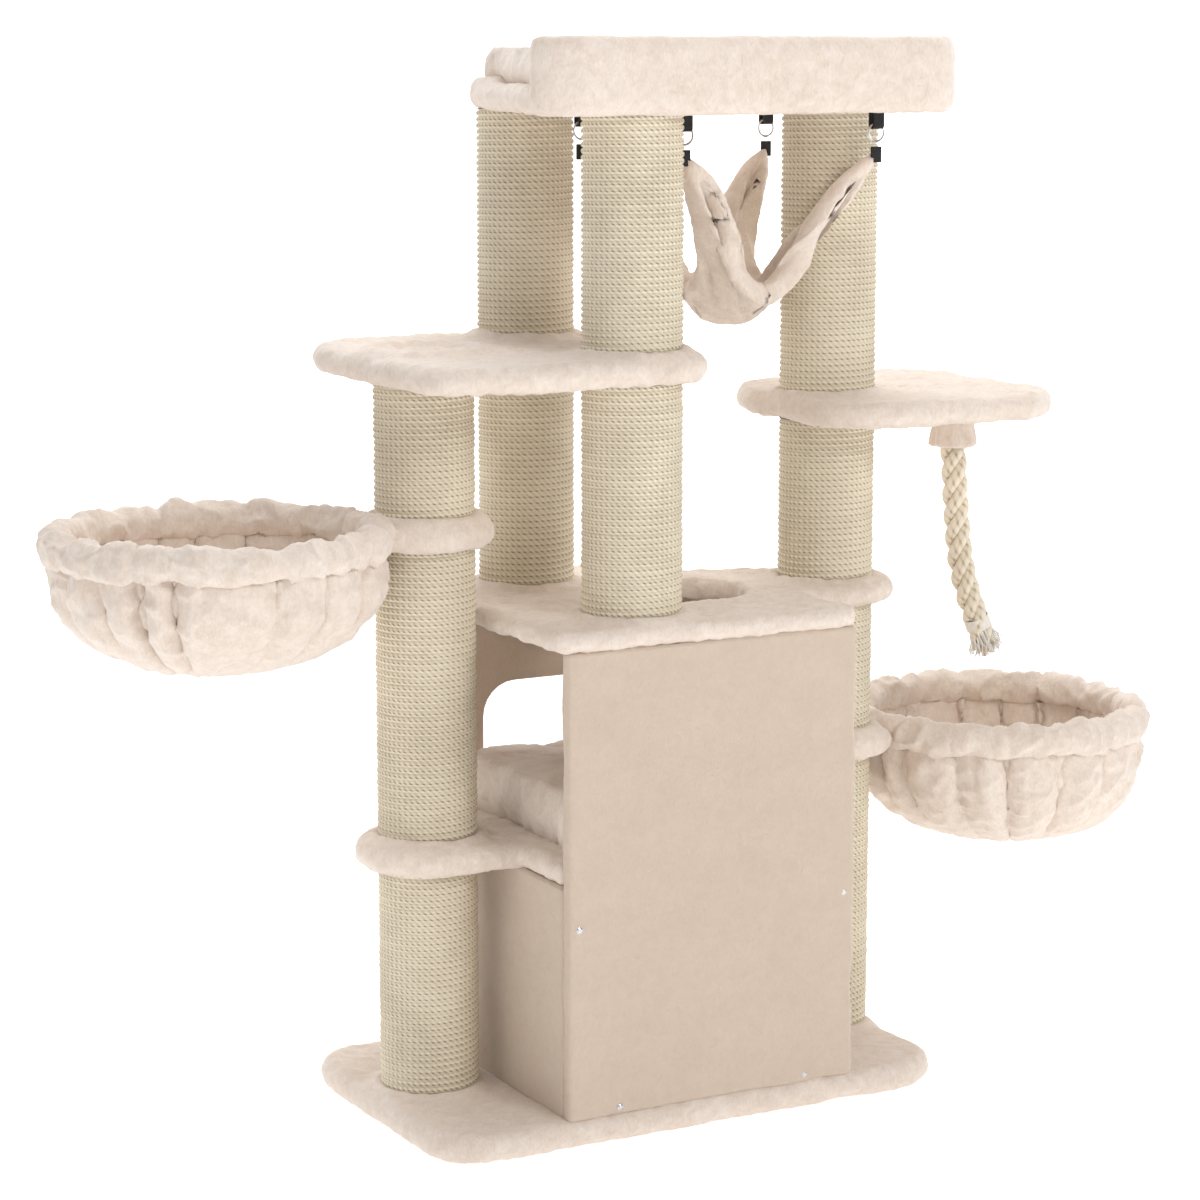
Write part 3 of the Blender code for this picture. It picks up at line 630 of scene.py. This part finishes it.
def plushBoard(name, node, centre, seed, heaps, body="root", hole=None, slot="board_plush", share=1.0):
    # rows run out along the underside, round the edge and back in over the top:
    # edge(a) = outline - n k (1 - cos a), z(a) = middle + h / 2 sin a, a = -90 to 90 degrees,
    # and the pile heaps up round a post's foot by k exp(-(distance / width)^2)
    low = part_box(node)[0][2] - boardSet["bulgeUnder"]
    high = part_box(node)[1][2] + boardSet["bulge"]
    line = nodeOutline(node, centre, boardSet["cadRound"], boardSet["step"], boardSet["soften"])
    n = outward(line)
    line = line + n * boardSet["bulge"]
    half, middle = (high - low) / 2, (high + low) / 2
    depth = half * boardSet["rollShare"]
    inner = line - n * depth
    a = np.radians(np.linspace(-90, 90, 15))[:, None]
    roll = line[None] - n[None] * depth * (1 - np.cos(a))[..., None]
    rollHeight = middle + half * np.sin(a)
    if hole:
        way = (inner - centre) / np.linalg.norm(inner - centre, axis=1)[:, None]
        lipDepth = depth * boardSet["lipShare"]
        hub = centre + way * (hole + lipDepth)
        lip = hub[None] - way[None] * lipDepth * np.cos(a[::-1])[..., None]
    else:
        hub = np.repeat(np.array([centre]), len(inner), 0)
    count = int(np.linalg.norm(inner - hub, axis=1).max() / boardSet["ringStep"])
    out = np.linspace(0, 1, 10)[:-1, None, None]
    back = np.linspace(1, 0, count)[1:, None, None]
    under = hub + (inner - hub) * out
    over = hub + (inner - hub) * back
    flat = [under, roll, over]
    levels = [np.full(len(out), low), rollHeight[:, 0], np.full(len(back), high)]
    if hole:
        flat.append(lip[1:-1])
        levels.append(rollHeight[::-1, 0][1:-1])
    xy = np.concatenate(flat)
    z = np.concatenate(levels)[:, None] + np.zeros(xy.shape[1])
    p = np.concatenate([xy, z[..., None]], -1)
    closed = (bool(hole), True)
    p = fluffed(p, closed, seed, share)
    top = np.clip((p[..., 2] - middle) / half, 0, 1)
    for foot in heaps:
        x, y = posts[foot]
        gapToPost = np.hypot(p[..., 0] - x, p[..., 1] - y) - posts["radius"]
        heap = np.exp(-((gapToPost - boardSet["heapGap"]) / boardSet["heapWidth"]) ** 2)
        p[..., 2] += boardSet["heapHeight"] * heap * top
    p[..., 2] = np.maximum(p[..., 2], boardSet["lowest"])
    obj = gridObject(name, p, mats["longPlush"], closed)
    return place(obj, body, slot, node)


def makeBoards():
    for name, own in boards.items():
        plushBoard(name, **own)


# the top bed's wall

wallSet = {
    "thickness": 0.030,
    "puff": 0.005,
    "near": -0.251,
    "left": -0.275,
    "right": 0.457,
    "far": 0.296,
    "corner": 0.095,
    "start": 200,  # degrees round the near left corner
    "end": 0.098,
    "step": 0.006,
    "rise": 0.003,  # pile above the wall's top and below its foot
    "endRound": 0.022,
}


def arc(cx, cy, r, a0, a1, steps):
    # (cx + r cos a, cy + r sin a)
    a = np.radians(np.linspace(a0, a1, steps))
    return np.stack([cx + r * np.cos(a), cy + r * np.sin(a)], 1)


def makeBedWall():
    # a rounded profile carried along the bed's edge: p(s, t) = c(s) + n(s) x(t) + z(t),
    # x = w sign(cos t) |cos t|^0.6, z = h sign(sin t) |sin t|^0.6, drawn in to a point at both ends
    w = wallSet
    c = w["corner"]
    r = c - w["thickness"] / 2
    path = np.concatenate(
        [
            arc(w["left"] + c, w["near"] + c, r, w["start"], 270, 10),
            arc(w["right"] - c, w["near"] + c, r, 270, 360, 12),
            arc(w["right"] - c, w["far"] - c, r, 0, 90, 12),
            np.array([[w["end"], w["far"] - w["thickness"] / 2]]),
        ]
    )
    path = resample(path, w["step"], closed=False)
    d = np.gradient(path, axis=0)
    n = np.stack([d[:, 1], -d[:, 0]], 1) / np.linalg.norm(d, axis=1)[:, None]
    lo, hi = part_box("top_bed_wall")
    middle = (lo[2] + hi[2]) / 2
    t = np.linspace(0, 2 * np.pi, 64, endpoint=False)
    x = (w["thickness"] / 2 + w["puff"]) * power(np.cos(t), 0.6)
    z = ((hi[2] - lo[2]) / 2 + w["rise"]) * power(np.sin(t), 0.6)
    s = np.linspace(0, len(path) * w["step"], len(path))
    fromEnd = np.clip(np.minimum(s, s[-1] - s) / w["endRound"], 0, 1)
    close = np.sqrt(np.clip(1 - (1 - fromEnd) ** 2, 0, 1))[:, None]
    xy = path[:, None, :] + n[:, None, :] * (x[None, :] * close)[..., None]
    level = middle + z[None, :] * (0.80 + 0.20 * close) * np.minimum(close * 4, 1)
    p = np.concatenate([xy, level[..., None]], -1)
    up = gridNormals(p, (False, True))
    core = np.concatenate([path, np.full((len(path), 1), middle)], 1)[:, None]
    up *= np.sign(np.sum(up * (p - core)))
    p = p + up * plushHeight(p, 81, 0.55)[..., None] * close[..., None]
    obj = gridObject("bedWall", p, mats["longPlush"], (False, True))
    place(obj, "root", "board_plush", "top_bed_wall")


# sisal posts

winding = {
    "pitch": 0.0095,
    "rows": 8,
    "columns": 80,
    "seam": 70,  # degrees round the post where a turn steps up
    "round": 0.985,  # share of a turn's round section that shows
    "slack": 0.00025,
    "wave": 0.0003,
}


def makeWinding(name, node, centre):
    # one turn of rope per pitch, as a surface of rows that climb the helix:
    # z(s, a) = low + pitch (s + a / 2 pi), r(s) = R - pitch / 2 (1 - sqrt(1 - d^2)),
    # d = distance to the turn's middle
    w = winding
    low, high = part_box(node)[0][2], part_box(node)[1][2]
    turns = round((high - low) / w["pitch"])
    pitch = (high - low) / turns
    s = np.arange(-w["rows"], turns * w["rows"] + 1)[:, None] / w["rows"]
    a = np.linspace(0, 2 * np.pi, w["columns"] + 1)[None, :]
    rise = s + a / (2 * np.pi)
    d = np.abs((s + 0.5) % 1 - 0.5) * 2 * w["round"]
    r = posts["radius"] - pitch / 2 * (1 - np.sqrt(1 - d**2)) + 0 * a
    z = np.clip(low + pitch * rise, low, high)
    rng = np.random.default_rng(int(abs(centre[0]) * 1000 + low * 77))
    slack = rng.normal(0, w["slack"], turns + 3)
    turn = np.clip(np.floor(s + 0.5).astype(int) + 1, 0, turns + 2)
    r = r + slack[turn] + w["wave"] * np.sin(3 * a + turn)
    around = a + math.radians(w["seam"])
    p = np.stack([centre[0] + r * np.cos(around), centre[1] + r * np.sin(around), z], -1)
    # the two ends close to the axis
    endLow, endHigh = p[:1].copy(), p[-1:].copy()
    endLow[..., :2] = endHigh[..., :2] = centre
    endLow[..., 2], endHigh[..., 2] = low, high
    p = np.concatenate([endLow, p, endHigh])
    u = np.broadcast_to(a / (2 * np.pi) * strand["perTurn"], (len(s), w["columns"] + 1))
    v = np.broadcast_to(s, u.shape)
    uv = np.stack([u, v], -1)
    uv = np.concatenate([uv[:1], uv, uv[-1:]])
    obj = gridObject(name, p, mats["sisal"], uv=uv)
    place(obj, "root", "sisal", node)


def makePosts():
    for name in ("left", "near", "far", "right"):
        section = 1
        while f"{name}_post_{section}" in nodes:
            makeWinding(f"{name}Winding{section}", f"{name}_post_{section}", posts[name])
            section += 1


# gathered baskets

basketSet = {
    "radius": 0.248,
    "wall": 0.018,
    "floor": 0.014,
    "hoopInset": 0.019,
    "roll": 0.021,  # radius of the gathered roll round the hoop
    "lift": 0.004,
    "tuck": 0.012,  # drawn in just under the hoop
    "tuckReach": 0.30,
    "belly": 0.010,  # how far the folds bulge below the hoop
    "innerShare": -0.35,  # the inside shows the gathers the other way round, and less
    "fullness": 0.80,
    "gathers": 17,
    "gatherDepth": 0.030,
    "fineFold": 0.003,
    "lowFold": 0.004,
    "rumple": (0.065, 0.006),
    "columns": 380,
    "left": {"centre": (-0.666, 0.010), "hoop": 0.897, "depth": 0.178, "sag": 0.0, "seed": 91},
    "right": {"centre": (0.690, 0.001), "hoop": 0.513, "depth": 0.198, "sag": 0.030, "seed": 95},
}


def makeBowl(side):
    # a bag on a hoop. Section, by the angle a from 0 at the hoop to 90 at the lowest point:
    # reach = R cos(a)^f, level = hoop - depth sin(a); over the hoop a roll of radius k, then the inside.
    # gathers: g(q) = |cos(n q / 2 + wander(q))|^0.5 is 1 on a fold and 0 in the crease between two
    b, own = basketSet, basketSet[side]
    q = np.linspace(0, 2 * np.pi, b["columns"], endpoint=False)[None, :]
    rng = np.random.default_rng(own["seed"])
    wander = sum(rng.uniform(0.2, 0.7) * np.sin(k * q + rng.uniform(0, 6.3)) for k in (2, 3, 5, 8))
    fold = np.abs(np.cos(b["gathers"] * q / 2 + wander)) ** 0.5
    fine = np.abs(np.cos(b["gathers"] * q * 1.35 + 2 * wander + 1.0)) ** 0.7
    uneven = 1 + 0.4 * np.sin(4 * q + rng.uniform(0, 6.3)) * np.sin(7 * q + rng.uniform(0, 6.3))
    a = np.radians(np.linspace(4, 90, 60))[:, None]
    turn = np.radians(np.linspace(-60, 240, 34))[:, None]
    hoopReach = b["radius"] - b["hoopInset"]
    rollSize = b["roll"] * (0.78 + 0.26 * fold * uneven + 0.10 * fine)
    rollReach = hoopReach + rollSize * np.cos(turn)
    rollLevel = own["hoop"] + b["lift"] + 1.15 * rollSize * np.sin(turn)
    belly = np.sin(2 * a) ** 0.8

    def shell(radius, bottom, push):
        reach = radius * np.cos(a) ** b["fullness"]
        depth = b["gatherDepth"] * uneven * (1 - fold) * (np.cos(a) ** 0.7)
        tuck = b["tuck"] * np.exp(-((a / b["tuckReach"]) ** 2))
        puff = b["belly"] * belly * (0.35 + 0.65 * fold) * uneven
        reach = reach - push * (depth - puff) - tuck
        reach = reach + push * b["fineFold"] * (fine - 0.5) * np.cos(a)
        return reach, own["hoop"] - bottom * np.sin(a) - b["lowFold"] * (1 - fold) * np.cos(a)

    outer = shell(b["radius"], own["depth"], 1.0)
    inner = shell(b["radius"] - b["wall"], own["depth"] - b["floor"], b["innerShare"])
    # rows: inside from the bottom up, over the rim from the inside out, then down to the bottom
    reach = np.concatenate([inner[0][::-1], rollReach[::-1], outer[0]])
    level = np.concatenate([inner[1][::-1], rollLevel[::-1], outer[1]])
    down = np.concatenate([np.sin(a[::-1]), 0 * turn, np.sin(a)]) + 0 * q
    slide = own["sag"] * down**2
    x, y = own["centre"]
    p = np.stack([x + reach * np.cos(q) + slide, y + reach * np.sin(q), level], -1)
    n = gridNormals(p, (False, True))
    outside = slice(len(a) + len(turn), None)
    sign = np.sign(np.sum(n[outside] * (p[outside] - (x, y, own["hoop"]))))
    rumple = tufts(p, *b["rumple"], own["seed"] + 7) * (1 - 0.6 * down)
    p = p + sign * n * (plushHeight(p, own["seed"]) * (1 - 0.5 * down) + rumple)[..., None]
    obj = gridObject(f"{side}Bowl", p, mats["longPlush"], (False, True))
    place(obj, f"{side}_basket", "soft_plush", f"{side}_basket_bowl")


# hammock

hammockSet = {
    "centre": (0.201, 0.045),
    "half": (0.168, 0.160),
    "top": 1.43817,
    "drop": 0.255,
    "sidePull": 0.60,
    "endPull": 0.30,
    "edgeLift": 0.24,
    "arm": 1.6,
    "thickness": 0.014,
    "roll": 0.019,  # half the thickness of the padded edge
    "armWidth": 0.019,
    "armEnd": 22.0,  # how sharply the arm's two sides part at its middle line
    "crease": 0.0045,
    "creases": 13,  # to a full turn round each corner
    "corners": [(-1, -1, 0.3), (1, -1, 1.9), (1, 1, 3.1), (-1, 1, 5.0)],  # side, side, phase
    "tab": (0.009, 0.0022, 0.024),  # half width, half thickness, height
    "tabTuck": 0.012,  # how far a tab runs down over the arm's end
}


def makeHammock():
    # the sheet: x = cx + hx u (1 - a (1 - v^4)), y = cy + hy v (1 - b (1 - u^2)),
    # z = top - drop (1 - |u v|^c) (1 - l max(|u|, |v|)^3), with a padded edge of half thickness h(ring),
    # and folds = k sum(near each corner, sin(n angle + phase + 2 distance))
    s = hammockSet
    turn = np.linspace(0, 2 * np.pi, 361)[:-1][None, :]
    ring = np.r_[np.linspace(0, 0.86, 50), np.linspace(0.87, 1.0, 16)][:, None]
    reach = 1 / np.maximum(np.abs(np.cos(turn)), np.abs(np.sin(turn)))
    u, v = ring * np.cos(turn) * reach, ring * np.sin(turn) * reach
    x = s["centre"][0] + s["half"][0] * u * (1 - s["sidePull"] * (1 - v**4))
    y = s["centre"][1] + s["half"][1] * v * (1 - s["endPull"] * (1 - u**2))
    edge = np.maximum(np.abs(u), np.abs(v))
    sag = (1 - np.abs(u * v) ** s["arm"]) * (1 - s["edgeLift"] * edge**3)
    sheet = np.stack([x, y, s["top"] - s["drop"] * sag], -1)
    # the arms keep some width up to their ends: each side moves out from the arm's middle
    away = np.hypot(1 - np.abs(u), 1 - np.abs(v))
    part = np.tanh(s["armEnd"] * (np.abs(u) - np.abs(v)))
    out = s["armWidth"] * part * np.exp(-((away / 0.75) ** 2))
    sheet[..., 0] += np.sign(u) * out * 0.69
    sheet[..., 1] -= np.sign(v) * out * 0.72
    n = gridNormals(sheet, (False, True))
    n *= np.sign(n[..., 2:3] + 1e-9)
    n[0] = (0, 0, 1)
    corner = np.abs(u * v)
    swell = np.exp(-(((edge - 0.90) / 0.10) ** 2)) + 0.6 * np.exp(-((away / 0.45) ** 2))
    swell = np.minimum(swell, 1)
    thick = s["thickness"] / 2 + (s["roll"] - s["thickness"] / 2) * swell * (1 - 0.2 * corner**2)
    end = np.sqrt(np.clip(1 - ((np.clip(edge, 0.9, 1) - 0.9) / 0.1) ** 2, 0, 1))
    folds = 0
    for cu, cv, phase in s["corners"]:
        away = np.hypot(u - cu, v - cv)
        angle = np.arctan2(v - cv, u - cu)
        strength = np.exp(-((away / 0.95) ** 2)) * (1 - np.exp(-((away / 0.42) ** 4)))
        folds = folds + strength * np.sin(s["creases"] * angle + phase + 2 * away)
    folds = s["crease"] * folds * np.clip(edge * 1.4, 0, 1)
    upper = sheet + n * (thick * end + folds)[..., None]
    lower = sheet - n * (thick * end - folds)[..., None]
    p = np.concatenate([upper, lower[::-1][1:]])
    p = fluffed(p, (False, True), 101, 0.8)
    obj = gridObject("hammockCloth", p, mats["longPlush"], (False, True))
    place(obj, "hammock", "soft_plush", "hammock")


# rope toy

ropeSet = {
    "route": [
        (0.5845, -0.020, 0.9865),
        (0.5860, -0.020, 0.9768),
        (0.5880, -0.020, 0.9590),
        (0.5902, -0.020, 0.9295),
        (0.5925, -0.020, 0.8998),
        (0.5950, -0.020, 0.8703),
        (0.5978, -0.020, 0.8407),
        (0.6012, -0.020, 0.8110),
        (0.6057, -0.020, 0.7835),
        (0.6125, -0.020, 0.7558),
        (0.6207, -0.020, 0.7293),
        (0.6310, -0.020, 0.7027),
        (0.6418, -0.020, 0.6770),
        (0.6535, -0.020, 0.6513),
        (0.6653, -0.020, 0.6257),
    ],
    "diameter": 0.042,
    "strands": 3,
    "lay": 0.105,  # length of one whole twist
    "step": 0.0025,
    "strandOffset": 0.27,  # of the rope's diameter
    "strandRadius": 0.235,
    "perStrand": 0.011,  # length of one stripe of the strand's own twist
    "whipAt": 0.305,  # along the rope
    "whipLength": 0.022,
    "whipRidge": 0.0006,
    "tassel": 190,
    "yarn": 0.0016,
    "yarnLength": (0.032, 0.047),
}


def tubesAlong(lines, radius, sides):
    # p(k, q) = c(k) + r (n cos q + b sin q) for several lines at once: lines is (m, k, 3)
    d = np.gradient(lines, axis=1)
    d /= np.linalg.norm(d, axis=-1, keepdims=True)
    n = np.cross(d, (0.0, 1.0, 0.0))
    n /= np.linalg.norm(n, axis=-1, keepdims=True)
    b = np.cross(d, n)
    q = np.linspace(0, 2 * np.pi, sides + 1)
    r = np.broadcast_to(radius, lines.shape[:2])[:, :, None, None]
    return lines[:, :, None] + r * (
        n[:, :, None] * np.cos(q)[:, None] + b[:, :, None] * np.sin(q)[:, None]
    )


def joined(name, objs):
    # several grids as one mesh
    first = objs[0]
    bpy.ops.object.select_all(action="DESELECT")
    for obj in objs:
        obj.select_set(True)
    bpy.context.view_layer.objects.active = first
    bpy.ops.object.join()
    first.name = name
    return first


def makeRope():
    # strand k: c(s) + r (n cos(2 pi s / lay + 2 pi k / 3) + b sin(2 pi s / lay + 2 pi k / 3))
    s = ropeSet
    route = resample(s["route"], s["step"], closed=False)
    d = np.gradient(route, axis=0)
    d /= np.linalg.norm(d, axis=1)[:, None]
    n = np.cross(d, (0.0, 1.0, 0.0))
    b = np.cross(d, n)
    along = np.linspace(0, s["step"] * (len(route) - 1), len(route))
    whipEnd = s["whipAt"] + s["whipLength"]
    frayed = np.clip((along - whipEnd) / 0.04, 0, 1)
    k = np.arange(s["strands"])[:, None] * 2 * np.pi / s["strands"]
    angle = 2 * np.pi * along[None] / s["lay"] + k
    offset = s["strandOffset"] * s["diameter"] * (1 - 0.35 * frayed)
    aside = n[None] * np.cos(angle)[..., None] + b[None] * np.sin(angle)[..., None]
    lines = route[None] + aside * offset[None, :, None]
    radius = s["strandRadius"] * s["diameter"] * (1 - 0.5 * frayed)
    p = tubesAlong(lines, radius, 24)
    made = []
    for index, tube in enumerate(p):
        u = np.broadcast_to(along[:, None] / s["perStrand"], tube.shape[:2])
        v = np.broadcast_to(np.linspace(0, 3, tube.shape[1])[None], tube.shape[:2])
        made.append(gridObject(f"strand{index}", tube, mats["cotton"], uv=np.stack([u, v], -1)))
    rope = joined("toyRope", made)
    place(rope, "rope_toy", "cotton", "toy_rope")
    # the whipping: turns of thin white twine
    at = (along >= s["whipAt"] - 0.001) & (along <= whipEnd)
    core = resample(route[at], 0.0005, closed=False)
    ridge = s["whipRidge"] * np.abs(np.sin(np.arange(len(core)) * np.pi / 4))
    band = tubesAlong(core[None], (0.485 * s["diameter"] + ridge)[None], 48)[0]
    whip = gridObject("ropeWhipping", band, mats["twine"])
    place(whip, "rope_toy", "cotton")
    # the tassel: loose yarns that spread below the whipping
    rng = np.random.default_rng(5)
    m = s["tassel"]
    start = route[np.searchsorted(along, whipEnd) - 2]
    end = np.array(s["route"][-1])
    way = (end - start) / np.linalg.norm(end - start)
    side = np.cross(way, (0, 1, 0))
    fan = rng.uniform(0, 2 * np.pi, m)
    spread = np.sqrt(rng.uniform(0, 1, m))
    t = np.linspace(0, 1, 12)[None]
    length = rng.uniform(*s["yarnLength"], m)[:, None]
    out = (0.017 + 0.010 * t**1.3) * spread[:, None]
    curl = 0.003 * np.sin(5 * t + rng.uniform(0, 6, (m, 1))) * t
    yarns = (
        start
        + way * (length * t)[..., None]
        + side * (out * np.cos(fan)[:, None] + curl)[..., None]
        + np.array([0, 1.0, 0]) * (out * np.sin(fan)[:, None] - curl)[..., None]
    )
    thin = s["yarn"] * (1 - 0.5 * t) + 0 * length
    tubes = tubesAlong(yarns, thin, 5)
    made = [gridObject(f"yarn{i}", tube, mats["twine"]) for i, tube in enumerate(tubes)]
    tassel = joined("ropeTassel", made)
    place(tassel, "rope_toy", "cotton")


collarSet = {"outer": 0.033, "inner": 0.0255, "flare": (0.005, 0.003), "gathers": 9, "lip": 0.004}


def makeCollar():
    # a gathered cup, t from its top to its mouth: outside r = R + flare t^2 + 1.4 mm cos(n q) (0.3 + t),
    # inside r = R' + flare' t + 1 mm cos(n q)
    c = collarSet
    q = np.linspace(0, 2 * np.pi, 96, endpoint=False)[None, :]
    lo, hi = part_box("rope_collar")
    cx, cy = (lo[0] + hi[0]) / 2, (lo[1] + hi[1]) / 2
    t = np.linspace(0, 1, 24)[:, None]
    wave = np.cos(c["gathers"] * q + 0.6 * np.sin(2 * q))
    outer = c["outer"] + c["flare"][0] * t**2 + 0.0014 * wave * (0.3 + t)
    inner = c["inner"] + c["flare"][1] * t + 0.0010 * wave
    z = hi[2] - (hi[2] - lo[2]) * t + 0 * q
    reach = np.concatenate([outer, (outer[-1:] + inner[-1:]) / 2, inner[::-1]])
    level = np.concatenate([z, z[-1:] - c["lip"], z[::-1]])
    p = np.stack([cx + reach * np.cos(q), cy + reach * np.sin(q), level], -1)
    p = fluffed(p, (False, True), 111, 0.45)
    obj = gridObject("ropeCollar", p, mats["longPlush"], (False, True))
    place(obj, "root", "soft_plush", "rope_collar")


# cushions

cushionSet = {
    "house": {"centre": (0.012, -0.005), "round": 0.020, "seed": 121, "sink": 0.010},
    "bed": {"centre": (0.10, 0.0), "round": 0.015, "seed": 131, "sink": 0.006},
    "step": 0.008,
    "soften": 0.012,
    "edgeShare": 0.95,  # depth of the rounded edge, as a share of half the thickness
    "folds": (0.12, 0.0035),
    "pressure": 4.0,
    "frames": 20,
    "mostMove": 0.012,
    "below": 0.004,  # how far it may swell past its solid's box
    "above": 0.008,
}


def inflate(obj, low, high):
    # pressure in a closed cloth for some frames; the result keeps between two corners of a box
    mesh = obj.data
    pressure = obj.modifiers.new("pressure", "CLOTH")
    pressure.settings.quality = 6
    pressure.settings.use_pressure = True
    pressure.settings.uniform_pressure_force = cushionSet["pressure"]
    pressure.settings.effector_weights.gravity = 0.0
    pressure.settings.tension_stiffness = 30
    pressure.settings.bending_stiffness = 0.4
    pressure.settings.shrink_min = -0.04
    pressure.point_cache.frame_end = cushionSet["frames"]
    before = np.empty(len(mesh.vertices) * 3, np.float32)
    mesh.vertices.foreach_get("co", before)
    for f in range(1, cushionSet["frames"] + 1):
        scene.frame_set(f)
    graph = bpy.context.evaluated_depsgraph_get()
    after = np.empty_like(before)
    obj.evaluated_get(graph).data.vertices.foreach_get("co", after)
    obj.modifiers.remove(pressure)
    scene.frame_set(1)
    move = (after - before).reshape(-1, 3)
    size = np.linalg.norm(move, axis=1, keepdims=True)
    move *= np.minimum(1, cushionSet["mostMove"] / np.maximum(size, 1e-9))
    co = np.clip(before.reshape(-1, 3) + move, low, high)
    mesh.vertices.foreach_set("co", co.astype(np.float32).ravel())
    mesh.update()


def makeCushion(kind, body):
    # a stuffed bag: edge roll with inset k (1 - |cos a|^0.8), and the top sinks by a sine
    # toward the middle
    own, node = cushionSet[kind], f"{kind}_cushion"
    lo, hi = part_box(node)
    line = nodeOutline(node, own["centre"], own["round"], cushionSet["step"], cushionSet["soften"])
    n = outward(line)
    half, middle = (hi[2] - lo[2]) / 2, (hi[2] + lo[2]) / 2
    depth = half * cushionSet["edgeShare"]
    a = np.radians(np.linspace(-90, 90, 17))[:, None]
    roll = line[None] - n[None] * (depth * (1 - np.abs(np.cos(a)) ** 0.8))[..., None]
    inner = line - n * depth
    hub = np.array(own["centre"])
    f = np.linspace(0, 1, 30)[:-1]
    flat = hub + (inner - hub) * f[:, None, None]
    xy = np.concatenate([flat, roll, flat[::-1]])
    z = np.concatenate([lo[2] + 0 * f, middle + half * np.sin(a[:, 0]), hi[2] + 0 * f])
    inward = np.concatenate([1 - f, 0 * a[:, 0], (1 - f)[::-1]])
    z = z - own["sink"] * np.sin(inward * np.pi / 2) * (z > middle)
    p = np.concatenate([xy, (z[:, None] + np.zeros(len(line)))[..., None]], -1)
    p = fluffed(p, (False, True), own["seed"], 1.1)
    folds = lumps(p, *cushionSet["folds"], own["seed"] + 5)
    p[..., 2] += folds * np.clip((p[..., 2] - middle) / half, 0, 1)
    obj = gridObject(f"{kind}Cushion", p, mats["longPlush"], (False, True))
    inflate(obj, np.array(lo) - cushionSet["below"], np.array(hi) + cushionSet["above"])
    place(obj, body, "soft_plush", node)


# panels in short plush

panelSet = {
    "step": 0.006,
    "round": 0.005,
    "puff": 0.001,
    "swell": (0.09, 0.0007),
    "tuft": (0.012, 0.0005),
}


def makePanel(name, node, across, seed):
    # a box with soft edges: rows run up the panel, columns round its closed section, and
    # p = sign(c) max(|c| - inset(row), 0), with the first and last rows drawn in to a point
    lo, hi = np.array(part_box(node)[0]), np.array(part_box(node)[1])
    other = 1 - across
    width, thick, tall = hi[across] - lo[across], hi[other] - lo[other], hi[2] - lo[2]
    e = panelSet["round"]
    corners = [
        arc(cx * (width / 2 - e), cy * (thick / 2 - e), e, start, start + 90, 6)
        for cx, cy, start in ((1, -1, -90), (1, 1, 0), (-1, 1, 90), (-1, -1, 180))
    ]
    section = resample(np.concatenate(corners), panelSet["step"])
    z = np.linspace(0, 1, int(tall / panelSet["step"]))
    foot = e * np.array([0, 0, 0.3, 0.8])
    level = np.r_[foot, e + z * (tall - 2 * e), tall - foot[::-1]]
    drawn = e * np.array([0, 1, 0.4, 0])
    inset = np.r_[drawn, 0 * z, drawn[::-1]][:, None, None]
    spread = np.r_[0, np.ones(len(z) + 6), 0]
    flat = spread[:, None, None] * np.sign(section) * np.maximum(np.abs(section) - inset, 0)
    mid = (lo + hi) / 2
    p = np.zeros((*flat.shape[:2], 3))
    p[..., across] = mid[across] + flat[..., 0]
    p[..., other] = mid[other] + flat[..., 1]
    p[..., 2] = lo[2] + level[:, None]
    n = gridNormals(p, (False, True))
    n *= np.sign(np.sum(n[..., other] * (p[..., other] - mid[other])))
    h = lumps(p, *panelSet["swell"], seed) + tufts(p, *panelSet["tuft"], seed + 1) + panelSet["puff"]
    p = p + n * (h * spread[:, None])[..., None]
    obj = gridObject(name, p, mats["shortPlush"], (False, True))
    place(obj, "root", "panel_plush", node)


def makePanels():
    makePanel("backPanel", "back_panel", 0, 141)
    makePanel("leftSidePanel", "left_side_panel", 1, 143)
    makePanel("rightSidePanel", "right_side_panel", 1, 145)


# CAD nodes that are shown as they are take a finish


def dressCadNodes():
    finish = {"hoop": "steel", "ring": "steel", "bolt": "steel", "screw": "steel", "strap": "webbing"}
    for name, node in nodes.items():
        if node.hide_render:
            continue
        kind = next((finish[k] for k in finish if k in name), "shortPlush")
        node.data.materials.clear()
        node.data.materials.append(mats[kind])


def makeTabs():
    # black tabs sewn round the ends of the hammock's arms: x = w power(cos t), y = d power(sin t)
    s = hammockSet
    wide, thick, tall = s["tab"]
    t = np.linspace(0, 2 * np.pi, 48, endpoint=False)
    level = np.r_[0, 0, np.linspace(0.0267, 0.9733, 24), 1, 1][:, None] * tall
    size = np.r_[0, 0.93, np.ones(24), 0.93, 0][:, None]
    made = []
    for cu, cv, _ in s["corners"]:
        x = s["centre"][0] + cu * s["half"][0] + size * wide * power(np.cos(t), 0.3)
        y = s["centre"][1] + cv * s["half"][1] + size * thick * power(np.sin(t), 0.3)
        p = np.stack([x, y, s["top"] - s["tabTuck"] + level + 0 * x], -1)
        made.append(gridObject(f"tab{cu}{cv}", p, mats["webbing"], (False, True)))
    tabs = joined("hammockTabs", made)
    place(tabs, "hammock", "webbing")


makeCamera()
makeStudio()
print("camera and studio")
mats = makeMaterials()
print("materials")
makeRope()
makeCollar()
print("rope toy")
makeBoards()
makeBedWall()
print("boards")
makePosts()
print("posts")
makePanels()
print("panels")
for side in ("left", "right"):
    makeBowl(side)
makeHammock()
makeTabs()
print("baskets and hammock")
makeCushion("house", "root")
makeCushion("bed", "bed_cushion")
print("cushions")
dressCadNodes()
